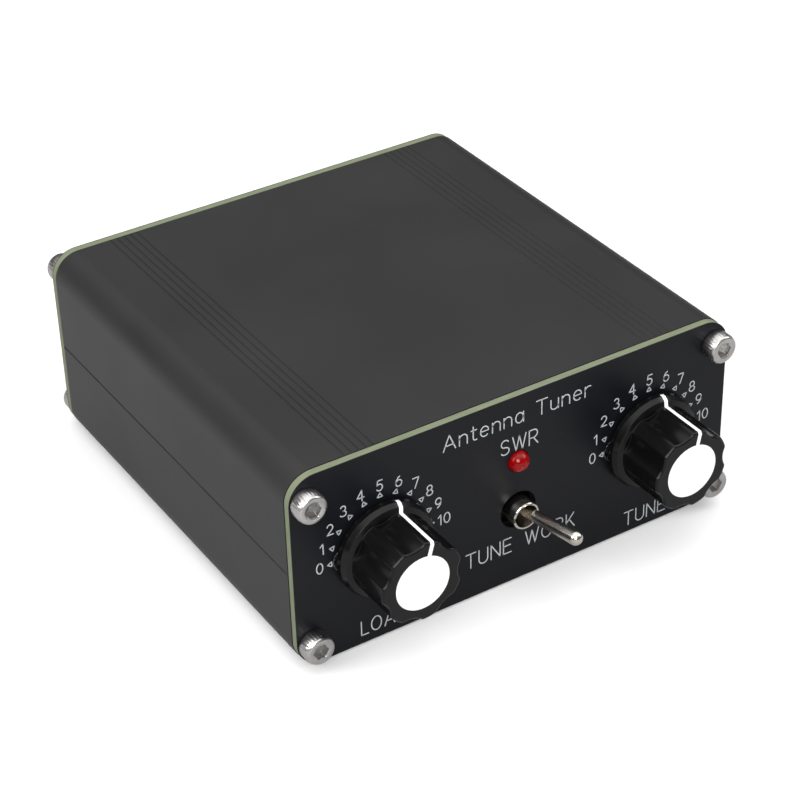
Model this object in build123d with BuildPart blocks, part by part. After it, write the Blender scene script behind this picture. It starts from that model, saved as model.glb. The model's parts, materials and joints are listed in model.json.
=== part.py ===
from build123d import *
import math
import os

# Antenna tuner for a small radio: a split aluminium case with two tuning knobs, a
# mode switch and a signal lamp on the front panel, and two bayonet coaxial jacks and
# an impedance switch on the rear panel.
# Millimetres. +Z is up, the front panel faces -Y, and the origin is the centre of the
# case's bottom face.

# Case: two extruded half shells, closed at each end by a flat panel.
CASE_WIDTH = 88.0
CASE_HEIGHT = 38.0
CASE_CORNER = 5.0
SHELL_LENGTH = 83.0
WALL = 1.5
PANEL_THICKNESS = 1.6
PANEL_MARGIN = 0.1
FACE_Y = SHELL_LENGTH / 2 + PANEL_THICKNESS
MID_HEIGHT = CASE_HEIGHT / 2

# Tongue and rebate that line up the two half shells.
TONGUE_THICKNESS = 0.6
TONGUE_HEIGHT = 1.2
TONGUE_GAP = 0.05
SEAM_GROOVE = 0.35

# Decorative V grooves along the case, in two bands.
GROOVE_COUNT = 5
GROOVE_PITCH = 1.35
GROOVE_SIDE = 0.28
GROOVE_BAND_X = 29.7

# Panel screws: M3 socket cap screws in channels along the case's corners.
SCREW_X = 41.04
SCREW_RISE = 14.31
SCREW_HOLE = 1.6
SCREW_SHANK = 1.46
SCREW_LENGTH = 8.0
SCREW_HEAD = 2.75
SCREW_HEAD_HEIGHT = 3.0
SCREW_HEAD_ROUND = 0.4
SCREW_SOCKET = 1.25
SCREW_SOCKET_DEPTH = 1.6
CHANNEL_RADIUS = 2.9
CHANNEL_BORE = 1.5
CHANNEL_MOUTH = 1.6

# Circuit board, held in rails on the bottom shell's side walls.
BOARD_BOTTOM = 8.25
BOARD_THICKNESS = 1.6
BOARD_TOP = BOARD_BOTTOM + BOARD_THICKNESS
BOARD_GAP = 0.05
BOARD_SIDE_GAP = 0.15
RAIL_DEPTH = 1.6
RAIL_THICKNESS = 1.0
RAIL_ROOT = 0.2
BOARD_FRONT_Y = -41.0
BOARD_REAR_Y = 41.0
FRONT_NOTCH_X = 14.0
FRONT_NOTCH_Y = -28.5
REAR_NOTCH_X = 16.0
REAR_NOTCH_Y = 29.0

# Knobs: seven-lobed grip on a round skirt, with a white cap disc and pointer line.
KNOB_X = 27.2
KNOB_Z = 19.1
KNOB_LOW = 0.9
KNOB_TOP = 12.45
SKIRT_RADIUS = 9.0
SKIRT_EDGE_TOP = 1.9
SKIRT_BEVEL_RADIUS = 8.5
SKIRT_BEVEL_DROP = 0.35
SKIRT_TOP = 3.1
GRIP_RADIUS = 7.6
LOBE_COUNT = 7
FLUTE_RADIUS = 4.0
FLUTE_CENTRE = 10.85
FLUTE_EDGE = 0.9
GRIP_EDGE = 0.4
CAP_DISC_RADIUS = 5.1
CAP_DISC_DEPTH = 0.5
POINTER_WIDTH = 0.8
POINTER_DEPTH = 0.3
POINTER_END_GAP = 0.4
KNOB_BORE_TOP = 10.6
HOLLOW_INNER = 4.9
HOLLOW_OUTER = 5.8
HOLLOW_TOP = 7.6
SET_SCREW_RADIUS = 1.25
SET_SCREW_HEIGHT = 5.4
SET_SCREW_OUTER = 6.0
SET_SCREW_SOCKET = 0.65
SET_SCREW_SOCKET_DEPTH = 1.2
FIT_GAP = 0.02

# Dial: ten divisions over a half turn. The readings are where the knobs rest.
DIAL_STEP = 18.0
LOAD_READING = 5.86
TUNE_READING = 5.61

# Variable capacitors behind the front panel.
SHAFT_HOLE = 3.6
SLEEVE_RADIUS = 3.0
SLEEVE_LOW = -1.3
SLEEVE_TOP = 10.5
SPINDLE_RADIUS = 2.0
SPINDLE_TOP = 3.0
SPINDLE_TAIL = 1.0
BEARING_GAP = 0.05
CAPACITOR_SIZE = 20.0
CAPACITOR_CORNER = 1.5
CAPACITOR_DEPTH = 11.0
CAPACITOR_WALL = 0.8
CAPACITOR_FRONT_WALL = 1.5
CAPACITOR_COVER = 0.8
PLATE_THICKNESS = 0.5
PLATE_PITCH = 1.7
ROTOR_PLATES = 5
ROTOR_RADIUS = 7.6
ROTOR_HUB = 3.0
FIRST_ROTOR_PLATE = -4.4
STATOR_HALF_WIDTH = 8.9
STATOR_TOP = -0.4
STATOR_OPENING = 3.6
POST_OFFSET = 8.0
POST_RADIUS = 0.9
POST_END = -15.5
CAPACITOR_SCREW_X = 7.0
CAPACITOR_SCREW_RADIUS = 1.25
CAPACITOR_SCREW_HEAD = 2.2
CAPACITOR_SCREW_CONE = 0.95
CAPACITOR_SCREW_SLOT = (3.0, 0.5)
CAPACITOR_SCREW_GAP = 0.1
SPINDLE_STEP = 0.1
ROTOR_END_GAP = 0.3
SLEEVE_CHAMFER = 0.4

# Toggle switches, soldered to the board, that reach out through the panels.
SWITCH_Z_FRONT = 14.8
SWITCH_Z_REAR = 14.4
SWITCH_HOLE = 3.6
SWITCH_TILT = 13.25
PIVOT_DEPTH = -2.0
BUSHING_RADIUS = 2.6
BUSHING_TOP = 2.5
BUSHING_BORE = 2.2
BUSHING_EDGE = 0.12
KEYWAY_WIDTH = 0.9
KEYWAY_DEPTH = 0.45
BALL_RADIUS = 1.5
BALL_GAP = 0.05
SEAT_TOP = 0.5
PIVOT_PIN_RADIUS = 0.45
PIVOT_PIN_REACH = 2.0
FRAME_FRONT = -2.9
FRAME_THICKNESS = 0.7
FRAME_WIDTH = 10.4
FRAME_HEIGHT = 8.4
HOUSING_WIDTH = 8.9
HOUSING_HEIGHT = 8.0
HOUSING_END = -11.8
HOUSING_WALL = 0.8
LEVER_LENGTH = 15.6
LEVER_ROOT_RADIUS = 0.95
LEVER_TIP_RADIUS = 1.3
LEVER_NUB = -3.4
NUB_RADIUS = 0.5
STEM_RADIUS = 0.35
ROCKER_SLOT = 1.2
ROCKER_PRONG = 0.5
PRONG_WIDTH = 1.6
PRONG_ABOVE_NUB = 0.25
PRONG_BELOW_NUB = 1.0
ROCKER_DEPTH_Y = 4.4
ROCKER_HALF_LENGTH = 2.7
ROCKER_THICKNESS = 0.4
ROCKER_RIB = 0.4
PAD_GAP = 0.06
TERMINAL_PITCH = 2.54
TERMINAL_ROW = 1.9
TERMINAL_WIDTH = 0.8
TERMINAL_THICKNESS = 0.4
TERMINAL_SLOT_GAP = 0.04
TERMINAL_HOLE = 0.55
LOW_TERMINAL_BEND = 1.2
HIGH_TERMINAL_BEND = 3.2
PIN_REACH = 0.9
LEG_DEPTH = -8.2
LEG_WIDTH = 1.2
LEG_OVERLAP = 0.1
LEG_HOLE = 0.8

# Bayonet coaxial jacks on the rear panel.
JACK_X = 27.36
JACK_Z = 14.7
JACK_HOLE = 5.95
THREAD_RADIUS = 5.85
THREAD_DEPTH = 0.3
THREAD_PITCH = 0.9
THREAD_TOP = 6.3
BARREL_RADIUS = 4.8
NECK_RADIUS = 4.95
NECK_TAPER = 0.4
LUG_BAND_RADIUS = 4.65
LUG_BAND_TOP = 13.5
JACK_MOUTH = 16.45
MOUTH_EDGE = 0.15
MOUTH_BORE = 4.1
JACK_FLOOR = 6.6
COLLAR_HEIGHT = 10.6
COLLAR_CENTRE = 4.4
COLLAR_ROUND = 0.75
RELIEF_HEIGHT = 11.6
RELIEF_CENTRE = 4.85
RELIEF_ROUND = 0.4
LUG_HEIGHT = 12.4
LUG_RADIUS = 1.0
LUG_REACH = 5.5
LUG_ROOT = 0.1
INSULATOR_RADIUS = 2.35
INSULATOR_TOP = 13.2
CONTACT_RADIUS = 1.05
CONTACT_BORE = 0.65
CONTACT_TOP = 12.9
CONTACT_END = -11.0
CONTACT_BORE_DEPTH = 4.0
CONTACT_SLOT_DEPTH = 3.0
CONTACT_SLOT = 0.3
SOLDER_CUP_DEPTH = 2.0
JACK_FLANGE = 7.4
JACK_FLANGE_END = -4.4
JACK_TAIL = 4.4
JACK_TAIL_END = -8.0
NUT_FLATS = 14.0
NUT_TOP = 3.1
NUT_TURN = 12.0
NUT_CHAMFER_OUT = 2.0
NUT_CHAMFER_DROP = 1.1
WASHER_RADIUS = 8.0
WASHER_THICKNESS = 0.8
WASHER_TEETH = 16
WASHER_BORE = 5.95
WASHER_NOTCH = (1.5, 0.9)

# Signal lamp.
LAMP_Z = 24.8
LAMP_RADIUS = 2.0
LAMP_HOLE = 2.1
LAMP_DOME = -0.2
LAMP_FLANGE = 2.45
LAMP_FLANGE_HEIGHT = 1.0
LAMP_END = -3.6
LAMP_LEAD_X = 1.27
LAMP_LEAD_Y = -26.2
LAMP_LEAD_RADIUS = 0.25
LAMP_LEAD_BEND = 1.0

# Ring-core coil and bridge parts on the board.
CORE_X = -14.0
CORE_Y = 2.0
CORE_OUTER = 16.5
CORE_INNER = 9.9
CORE_HEIGHT = 11.1
CORE_LIFT = 0.9
CORE_EDGE = 1.2
CLAMP_RADIUS = 10.6
CLAMP_THICKNESS = 1.5
CLAMP_STEM = 3.0
CLAMP_PIN = 1.5
CLAMP_BARB_OUT = 0.8
CLAMP_TIP_IN = 0.5
CLAMP_TIP = 2.0
COIL_WIRE = 0.4
COIL_GAP = 0.06
COIL_TAIL = 1.6
TANK_TURNS = 24
TANK_SPAN = 270.0
LINK_TURNS = 5
LINK_SPAN = 50.0
SENSE_X = 30.0
SENSE_Y = 10.0
SENSE_OUTER = 4.75
SENSE_INNER = 2.4
SENSE_HEIGHT = 3.2
SENSE_LIFT = 0.5
SENSE_WIRE = 0.2
SENSE_TURNS = 14
SENSE_SPAN = 300.0
SENSE_EDGE = 0.3
TANK_START = -45.0
LINK_START = 240.0
SENSE_START = 10.0
RESISTOR_COUNT = 3
RESISTOR_X = 27.0
RESISTOR_FIRST_Y = -22.0
RESISTOR_RADIUS = 2.2
RESISTOR_LENGTH = 11.0
RESISTOR_PITCH = 7.0
RESISTOR_SPAN = 15.0
RESISTOR_Z = BOARD_TOP + RESISTOR_RADIUS + 0.4
DIODE_PLACE = (18.0, 18.0, BOARD_TOP + 1.2)
DIODE_RADIUS = 0.9
DIODE_LENGTH = 4.0
DIODE_SPAN = 8.0
DIODE_LEAD_RADIUS = 0.25
LEAD_RADIUS = 0.35
LEAD_BEND = 0.8
LEAD_TIP_Z = 7.2
LEAD_GAP = 0.1
WIRE_RADIUS = 0.6
WIRE_BEND = 0.9
JACK_WIRE_RUN = 2.4
JACK_WIRE_REACH = 6.5
JACK_WIRE_RISE = 3.0
CAPACITOR_WIRE_RUN = 2.0

# The two panel faces, seen from outside: local x runs to the viewer's right, local y
# is up, and distances out of the panel are positive.
FRONT = Plane(origin=(0, -FACE_Y, 0), x_dir=(1, 0, 0), z_dir=(0, -1, 0))
REAR = Plane(origin=(0, FACE_Y, 0), x_dir=(-1, 0, 0), z_dir=(0, 1, 0))

# Holes that the leads of the mounted parts need in the board, as (x, y, radius).
board_holes = []

os.makedirs("parts", exist_ok=True)


def save(part, name):
    """Label a finished piece and write it as its own STEP file."""
    part.label = name
    export_step(part, f"parts/{name}.step")


def spot(panel, across, up):
    """A plane on a panel's outer face, centred on a place of that panel."""
    return Plane(panel.from_local_coords((across, up, 0)), x_dir=panel.x_dir, z_dir=panel.z_dir)


def side_of(plane):
    """The section plane whose x is the plane's x and whose y is its normal."""
    return Plane(plane.origin, x_dir=plane.x_dir, z_dir=-plane.y_dir)


def swung(plane, angle):
    """The plane turned about its own normal."""
    about = Axis((0, 0, 0), plane.z_dir)
    return Plane(plane.origin, x_dir=plane.x_dir.rotate(about, angle), z_dir=plane.z_dir)


def tilted(plane, angle):
    """The plane turned about its own y direction, so its normal leans towards x."""
    about = Axis((0, 0, 0), plane.y_dir)
    return Plane(
        plane.origin,
        x_dir=plane.x_dir.rotate(about, angle),
        z_dir=plane.z_dir.rotate(about, angle),
    )


def turned(plane, outline, mode=Mode.ADD):
    """Turn an outline of (radius, height) points about the plane's normal."""
    with BuildSketch(side_of(plane)) as section:
        with BuildLine():
            Polyline(*outline, close=True)
        make_face()
    revolve(section.sketch, axis=Axis(plane.origin, plane.z_dir), mode=mode)


def rod(plane, radius, low, high, mode=Mode.ADD):
    """A round bar along the plane's normal."""
    with BuildSketch(plane.offset(low)) as section:
        Circle(radius)
    extrude(section.sketch, amount=high - low, mode=mode)


def block(plane, size, low, high, centre=(0, 0), mode=Mode.ADD):
    """A rectangular bar along the plane's normal."""
    with BuildSketch(plane.offset(low)) as section:
        with Locations(centre):
            Rectangle(*size)
    extrude(section.sketch, amount=high - low, mode=mode)


def ring_of_round_section(plane, section_radius, centre_radius, height, mode=Mode.ADD):
    """A ring of round section about the plane's normal, to add a bead or cut a groove."""
    with BuildSketch(side_of(plane)) as section:
        with Locations((centre_radius, height)):
            Circle(section_radius)
    revolve(section.sketch, axis=Axis(plane.origin, plane.z_dir), mode=mode)


def wire_along(points, radius, bend):
    """A round wire with rounded bends. An end that passes the board adds a hole to it."""
    for end in (Vector(points[0]), Vector(points[-1])):
        if end.Z < BOARD_BOTTOM:
            board_holes.append((end.X, end.Y, radius + LEAD_GAP))
    with BuildLine() as path:
        FilletPolyline(*points, radius=bend)
    with BuildSketch(Plane(path.line @ 0, z_dir=path.line % 0)) as section:
        Circle(radius)
    sweep(section.sketch, path=path.line)


def thread_outline(radius, low, high):
    """Points of a row of thread crests between two heights, from low to high."""
    points = []
    crests = int((high - low) / THREAD_PITCH)
    for crest in range(crests):
        height = low + crest * THREAD_PITCH
        points.append((radius - THREAD_DEPTH, height + 0.1 * THREAD_PITCH))
        points.append((radius, height + 0.45 * THREAD_PITCH))
        points.append((radius, height + 0.65 * THREAD_PITCH))
        points.append((radius - THREAD_DEPTH, height + THREAD_PITCH))
    return points


# ---------------------------------------------------------------- case

def draw_half_section(with_tongue):
    """Section of one half shell, open side up, with its rails and screw channels."""
    inner_half = CASE_WIDTH / 2 - WALL
    low_screw = MID_HEIGHT - SCREW_RISE
    with Locations((0, MID_HEIGHT)):
        RectangleRounded(CASE_WIDTH, CASE_HEIGHT, CASE_CORNER)
        RectangleRounded(
            CASE_WIDTH - 2 * WALL, CASE_HEIGHT - 2 * WALL, CASE_CORNER - WALL, mode=Mode.SUBTRACT
        )
    for side in (-1, 1):
        with Locations((side * SCREW_X, low_screw)):
            Circle(CHANNEL_RADIUS)
        for rail_middle in (
            BOARD_BOTTOM - BOARD_GAP - RAIL_THICKNESS / 2,
            BOARD_TOP + BOARD_GAP + RAIL_THICKNESS / 2,
        ):
            with Locations((side * (inner_half - RAIL_DEPTH / 2), rail_middle)):
                Rectangle(RAIL_DEPTH + RAIL_ROOT, RAIL_THICKNESS)
        with Locations((side * SCREW_X, low_screw)):
            Circle(CHANNEL_BORE, mode=Mode.SUBTRACT)
            Rectangle(
                2 * CHANNEL_RADIUS,
                CHANNEL_MOUTH,
                rotation=90 + side * 45,
                align=(Align.MIN, Align.CENTER),
                mode=Mode.SUBTRACT,
            )
        for groove in range(GROOVE_COUNT):
            offset_in_band = (groove - (GROOVE_COUNT - 1) / 2) * GROOVE_PITCH
            with Locations((side * GROOVE_BAND_X + offset_in_band, 0)):
                Rectangle(GROOVE_SIDE, GROOVE_SIDE, rotation=45, mode=Mode.SUBTRACT)
    with Locations((0, MID_HEIGHT)):
        Rectangle(
            2 * CASE_WIDTH, CASE_HEIGHT, align=(Align.CENTER, Align.MIN), mode=Mode.SUBTRACT
        )
    for side in (-1, 1):
        with Locations((side * CASE_WIDTH / 2, MID_HEIGHT)):
            Rectangle(SEAM_GROOVE, SEAM_GROOVE, rotation=45, mode=Mode.SUBTRACT)
        if with_tongue:
            with Locations((side * (inner_half + TONGUE_THICKNESS / 2), MID_HEIGHT)):
                Rectangle(TONGUE_THICKNESS, 2 * TONGUE_HEIGHT)
        else:
            rebate = TONGUE_THICKNESS + TONGUE_GAP
            with Locations((side * (inner_half + rebate / 2), MID_HEIGHT)):
                Rectangle(rebate, 2 * (TONGUE_HEIGHT + TONGUE_GAP), mode=Mode.SUBTRACT)


with BuildPart() as bottom_shell:
    with BuildSketch(Plane.XZ.offset(-SHELL_LENGTH / 2)):
        draw_half_section(with_tongue=True)
    extrude(amount=SHELL_LENGTH)
save(bottom_shell.part, "bottom_shell")

with BuildPart() as top_shell:
    with BuildSketch(Plane.XZ.offset(-SHELL_LENGTH / 2)):
        draw_half_section(with_tongue=False)
    extrude(amount=SHELL_LENGTH)
    mirror(about=Plane.XY.offset(MID_HEIGHT), mode=Mode.REPLACE)
save(top_shell.part, "top_shell")


def end_panel(panel, holes):
    """A flat panel with its four screw holes and a list of (across, up, radius) holes."""
    with BuildPart() as plate:
        with BuildSketch(panel.offset(-PANEL_THICKNESS)):
            with Locations((0, MID_HEIGHT)):
                RectangleRounded(
                    CASE_WIDTH - 2 * PANEL_MARGIN,
                    CASE_HEIGHT - 2 * PANEL_MARGIN,
                    CASE_CORNER - PANEL_MARGIN,
                )
                with GridLocations(2 * SCREW_X, 2 * SCREW_RISE, 2, 2):
                    Circle(SCREW_HOLE, mode=Mode.SUBTRACT)
            for across, up, radius in holes:
                with Locations((across, up)):
                    Circle(radius, mode=Mode.SUBTRACT)
        extrude(amount=PANEL_THICKNESS)
    return plate


front_holes = [(0, SWITCH_Z_FRONT, SWITCH_HOLE), (0, LAMP_Z, LAMP_HOLE)]
for knob_side in (-1, 1):
    front_holes.append((knob_side * KNOB_X, KNOB_Z, SHAFT_HOLE))

front_panel = end_panel(FRONT, front_holes)
with front_panel:
    for knob_side in (-1, 1):
        for screw_side in (-1, 1):
            place = spot(FRONT, knob_side * KNOB_X + screw_side * CAPACITOR_SCREW_X, KNOB_Z)
            clearance = CAPACITOR_SCREW_RADIUS + CAPACITOR_SCREW_GAP
            turned(
                place,
                [
                    (0, 0),
                    (CAPACITOR_SCREW_HEAD + CAPACITOR_SCREW_GAP, 0),
                    (clearance, -CAPACITOR_SCREW_CONE),
                    (clearance, -PANEL_THICKNESS),
                    (0, -PANEL_THICKNESS),
                ],
                mode=Mode.SUBTRACT,
            )
save(front_panel.part, "front_panel")

rear_panel = end_panel(
    REAR,
    [(-JACK_X, JACK_Z, JACK_HOLE), (JACK_X, JACK_Z, JACK_HOLE), (0, SWITCH_Z_REAR, SWITCH_HOLE)],
)
save(rear_panel.part, "rear_panel")


def socket_cap_screw(place):
    """One M3 socket cap screw, its head seated on the plane."""
    rod(place, SCREW_SHANK, -SCREW_LENGTH, 0)
    rod(place, SCREW_HEAD, 0, SCREW_HEAD_HEIGHT - SCREW_HEAD_ROUND)
    rim = SCREW_HEAD - SCREW_HEAD_ROUND
    rod(place, rim, SCREW_HEAD_HEIGHT - SCREW_HEAD_ROUND, SCREW_HEAD_HEIGHT)
    ring_of_round_section(place, SCREW_HEAD_ROUND, rim, SCREW_HEAD_HEIGHT - SCREW_HEAD_ROUND)
    with BuildSketch(place.offset(SCREW_HEAD_HEIGHT - SCREW_SOCKET_DEPTH)) as socket:
        RegularPolygon(SCREW_SOCKET, 6, major_radius=False)
    extrude(socket.sketch, amount=SCREW_SOCKET_DEPTH, mode=Mode.SUBTRACT)


for panel, panel_name in ((FRONT, "front"), (REAR, "rear")):
    with BuildPart() as panel_screws:
        for across in (-SCREW_X, SCREW_X):
            for up in (MID_HEIGHT - SCREW_RISE, MID_HEIGHT + SCREW_RISE):
                socket_cap_screw(spot(panel, across, up))
    save(panel_screws.part, f"{panel_name}_panel_screws")


# ---------------------------------------------------------------- knobs and capacitors

def lobed_outline(plane):
    """Outline of the grip: a circle with round flutes between the lobes."""
    with BuildSketch(plane) as outline:
        Circle(GRIP_RADIUS)
        with PolarLocations(FLUTE_CENTRE, LOBE_COUNT, start_angle=180 / LOBE_COUNT):
            Circle(FLUTE_RADIUS, mode=Mode.SUBTRACT)
        fillet(outline.vertices(), FLUTE_EDGE)
    return outline.sketch


def pointer_strip(dial, standout=0.0):
    """Section of the pointer line, over the cap, down one lobe and across the skirt.

    The standout makes the outer side stand clear of the knob, for cutting the line's seat.
    """
    bevel_top = SKIRT_TOP - SKIRT_BEVEL_DROP
    line_low = KNOB_LOW + POINTER_END_GAP
    edge = 0 if standout else GRIP_EDGE
    outer = [
        (CAP_DISC_RADIUS - standout, KNOB_TOP + standout),
        (GRIP_RADIUS - edge + standout, KNOB_TOP + standout),
        (GRIP_RADIUS + standout, KNOB_TOP - edge),
        (GRIP_RADIUS + standout, SKIRT_TOP + standout),
        (SKIRT_BEVEL_RADIUS + standout, bevel_top + standout),
        (SKIRT_RADIUS + standout, SKIRT_EDGE_TOP),
        (SKIRT_RADIUS + standout, line_low),
    ]
    inner = [
        (SKIRT_RADIUS - POINTER_DEPTH, line_low),
        (SKIRT_RADIUS - POINTER_DEPTH, SKIRT_EDGE_TOP - 0.1),
        (SKIRT_BEVEL_RADIUS - 0.1, bevel_top - POINTER_DEPTH),
        (GRIP_RADIUS - POINTER_DEPTH, SKIRT_TOP - POINTER_DEPTH),
        (GRIP_RADIUS - POINTER_DEPTH, KNOB_TOP - POINTER_DEPTH),
        (CAP_DISC_RADIUS - standout, KNOB_TOP - POINTER_DEPTH),
    ]
    with BuildSketch(side_of(dial)) as strip:
        with BuildLine():
            Polyline(*outer, *inner, close=True)
        make_face()
    return strip.sketch


def knob(name, shaft, pointer_angle):
    """Knob, cap disc, pointer line and set screw. The pointer angle is from the viewer's right."""
    dial = swung(shaft, pointer_angle)
    screw_line = Plane(
        dial.offset(SET_SCREW_HEIGHT).origin, x_dir=dial.z_dir, z_dir=-dial.x_dir
    )

    with BuildPart() as body:
        turned(
            dial,
            [
                (0, KNOB_LOW),
                (SKIRT_RADIUS, KNOB_LOW),
                (SKIRT_RADIUS, SKIRT_EDGE_TOP),
                (SKIRT_BEVEL_RADIUS, SKIRT_TOP - SKIRT_BEVEL_DROP),
                (GRIP_RADIUS, SKIRT_TOP),
                (0, SKIRT_TOP),
            ],
        )
        extrude(lobed_outline(dial.offset(SKIRT_TOP)), amount=KNOB_TOP - SKIRT_TOP)
        top_face = body.faces().sort_by(Axis(dial.origin, dial.z_dir))[-1]
        fillet(top_face.edges(), GRIP_EDGE)
        rod(dial, CAP_DISC_RADIUS, KNOB_TOP - CAP_DISC_DEPTH, KNOB_TOP, mode=Mode.SUBTRACT)
        extrude(
            pointer_strip(dial, standout=POINTER_DEPTH),
            amount=POINTER_WIDTH / 2,
            both=True,
            mode=Mode.SUBTRACT,
        )
        rod(dial, SLEEVE_RADIUS + FIT_GAP, KNOB_LOW, KNOB_BORE_TOP, mode=Mode.SUBTRACT)
        turned(
            dial,
            [
                (HOLLOW_INNER, KNOB_LOW),
                (HOLLOW_OUTER, KNOB_LOW),
                (HOLLOW_OUTER, HOLLOW_TOP),
                (HOLLOW_INNER, HOLLOW_TOP),
            ],
            mode=Mode.SUBTRACT,
        )
        rod(screw_line, SET_SCREW_RADIUS + FIT_GAP, SLEEVE_RADIUS, SKIRT_RADIUS, mode=Mode.SUBTRACT)
    save(body.part, f"{name}_knob")

    with BuildPart() as cap_disc:
        rod(dial, CAP_DISC_RADIUS - FIT_GAP, KNOB_TOP - CAP_DISC_DEPTH, KNOB_TOP)
    save(cap_disc.part, f"{name}_knob_cap_disc")

    with BuildPart() as pointer:
        extrude(pointer_strip(dial), amount=POINTER_WIDTH / 2 - FIT_GAP, both=True)
    save(pointer.part, f"{name}_knob_pointer")

    with BuildPart() as set_screw:
        rod(screw_line, SET_SCREW_RADIUS, SLEEVE_RADIUS + FIT_GAP, SET_SCREW_OUTER)
        with BuildSketch(screw_line.offset(SET_SCREW_OUTER - SET_SCREW_SOCKET_DEPTH)) as socket:
            RegularPolygon(SET_SCREW_SOCKET, 6, major_radius=False)
        extrude(socket.sketch, amount=SET_SCREW_SOCKET_DEPTH, mode=Mode.SUBTRACT)
    save(set_screw.part, f"{name}_knob_set_screw")


def variable_capacitor(name, shaft, reading):
    """Tuning capacitor on the panel's inner face, with its rotor set to a dial reading."""
    front = -PANEL_THICKNESS
    back = front - CAPACITOR_DEPTH
    cavity_front = front - CAPACITOR_FRONT_WALL
    cover_back = back - CAPACITOR_COVER
    inner_size = CAPACITOR_SIZE - 2 * CAPACITOR_WALL

    with BuildPart() as case:
        with BuildSketch(shaft.offset(back)):
            RectangleRounded(CAPACITOR_SIZE, CAPACITOR_SIZE, CAPACITOR_CORNER)
        extrude(amount=CAPACITOR_DEPTH)
        block(shaft, (inner_size, inner_size), back, cavity_front, mode=Mode.SUBTRACT)
        rod(shaft, SPINDLE_RADIUS + BEARING_GAP, cavity_front, front, mode=Mode.SUBTRACT)
        for side in (-1, 1):
            place = spot(shaft, side * CAPACITOR_SCREW_X, 0)
            rod(place, CAPACITOR_SCREW_RADIUS + FIT_GAP, cavity_front, front, mode=Mode.SUBTRACT)
    save(case.part, f"{name}_capacitor_case")

    with BuildPart() as cover:
        with BuildSketch(shaft.offset(cover_back)):
            RectangleRounded(CAPACITOR_SIZE, CAPACITOR_SIZE, CAPACITOR_CORNER)
            Circle(SPINDLE_TAIL + BEARING_GAP, mode=Mode.SUBTRACT)
            with Locations((-POST_OFFSET, -POST_OFFSET), (POST_OFFSET, -POST_OFFSET)):
                Circle(POST_RADIUS + FIT_GAP, mode=Mode.SUBTRACT)
        extrude(amount=CAPACITOR_COVER)
    save(cover.part, f"{name}_capacitor_cover")

    with BuildPart() as spindle:
        rod(shaft, SPINDLE_RADIUS, back + SPINDLE_STEP, SPINDLE_TOP)
        rod(shaft, SPINDLE_TAIL, cover_back, back + SPINDLE_STEP)
    save(spindle.part, f"{name}_capacitor_spindle")

    with BuildPart() as sleeve:
        rod(shaft, SLEEVE_RADIUS, SLEEVE_LOW, SLEEVE_TOP)
        rod(shaft, SPINDLE_RADIUS + FIT_GAP, SLEEVE_LOW, SPINDLE_TOP, mode=Mode.SUBTRACT)
        outer_end = sleeve.faces().sort_by(Axis(shaft.origin, shaft.z_dir))[-1]
        chamfer(outer_end.edges(), SLEEVE_CHAMFER)
    save(sleeve.part, f"{name}_shaft_sleeve")

    rotor_middle = swung(shaft, 90 - reading * DIAL_STEP)
    with BuildPart() as rotor:
        rod(shaft, ROTOR_HUB, back + ROTOR_END_GAP, cavity_front - ROTOR_END_GAP)
        for plate in range(ROTOR_PLATES):
            with BuildSketch(rotor_middle.offset(FIRST_ROTOR_PLATE - plate * PLATE_PITCH)):
                with BuildLine():
                    CenterArc((0, 0), ROTOR_RADIUS, -90, 180)
                    Line((0, ROTOR_RADIUS), (0, -ROTOR_RADIUS))
                make_face()
            extrude(amount=PLATE_THICKNESS / 2, both=True)
        rod(shaft, SPINDLE_RADIUS + FIT_GAP, back, cavity_front, mode=Mode.SUBTRACT)
    save(rotor.part, f"{name}_rotor_plates")

    with BuildPart() as stator:
        for plate in range(ROTOR_PLATES - 1):
            height = FIRST_ROTOR_PLATE - (plate + 0.5) * PLATE_PITCH
            with BuildSketch(shaft.offset(height)):
                with Locations((0, STATOR_TOP)):
                    Rectangle(
                        2 * STATOR_HALF_WIDTH,
                        STATOR_HALF_WIDTH + STATOR_TOP,
                        align=(Align.CENTER, Align.MAX),
                    )
                Circle(STATOR_OPENING, mode=Mode.SUBTRACT)
            extrude(amount=PLATE_THICKNESS / 2, both=True)
        for side in (-1, 1):
            rod(spot(shaft, side * POST_OFFSET, -POST_OFFSET), POST_RADIUS, POST_END, cavity_front)
    save(stator.part, f"{name}_stator_plates")

    with BuildPart() as screws:
        for side in (-1, 1):
            turned(
                spot(shaft, side * CAPACITOR_SCREW_X, 0),
                [
                    (0, 0),
                    (CAPACITOR_SCREW_HEAD, 0),
                    (CAPACITOR_SCREW_RADIUS, -CAPACITOR_SCREW_CONE),
                    (CAPACITOR_SCREW_RADIUS, cavity_front),
                    (0, cavity_front),
                ],
            )
            place = spot(shaft, side * CAPACITOR_SCREW_X, 0)
            slot_depth = CAPACITOR_SCREW_SLOT[1]
            block(place, CAPACITOR_SCREW_SLOT, -slot_depth, 0, mode=Mode.SUBTRACT)
    save(screws.part, f"{name}_capacitor_screws")


for control, control_x, reading in (
    ("load", -KNOB_X, LOAD_READING),
    ("tune", KNOB_X, TUNE_READING),
):
    control_shaft = spot(FRONT, control_x, KNOB_Z)
    knob(control, control_shaft, pointer_angle=180 - reading * DIAL_STEP)
    variable_capacitor(control, control_shaft, reading)


# ---------------------------------------------------------------- toggle switches

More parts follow.
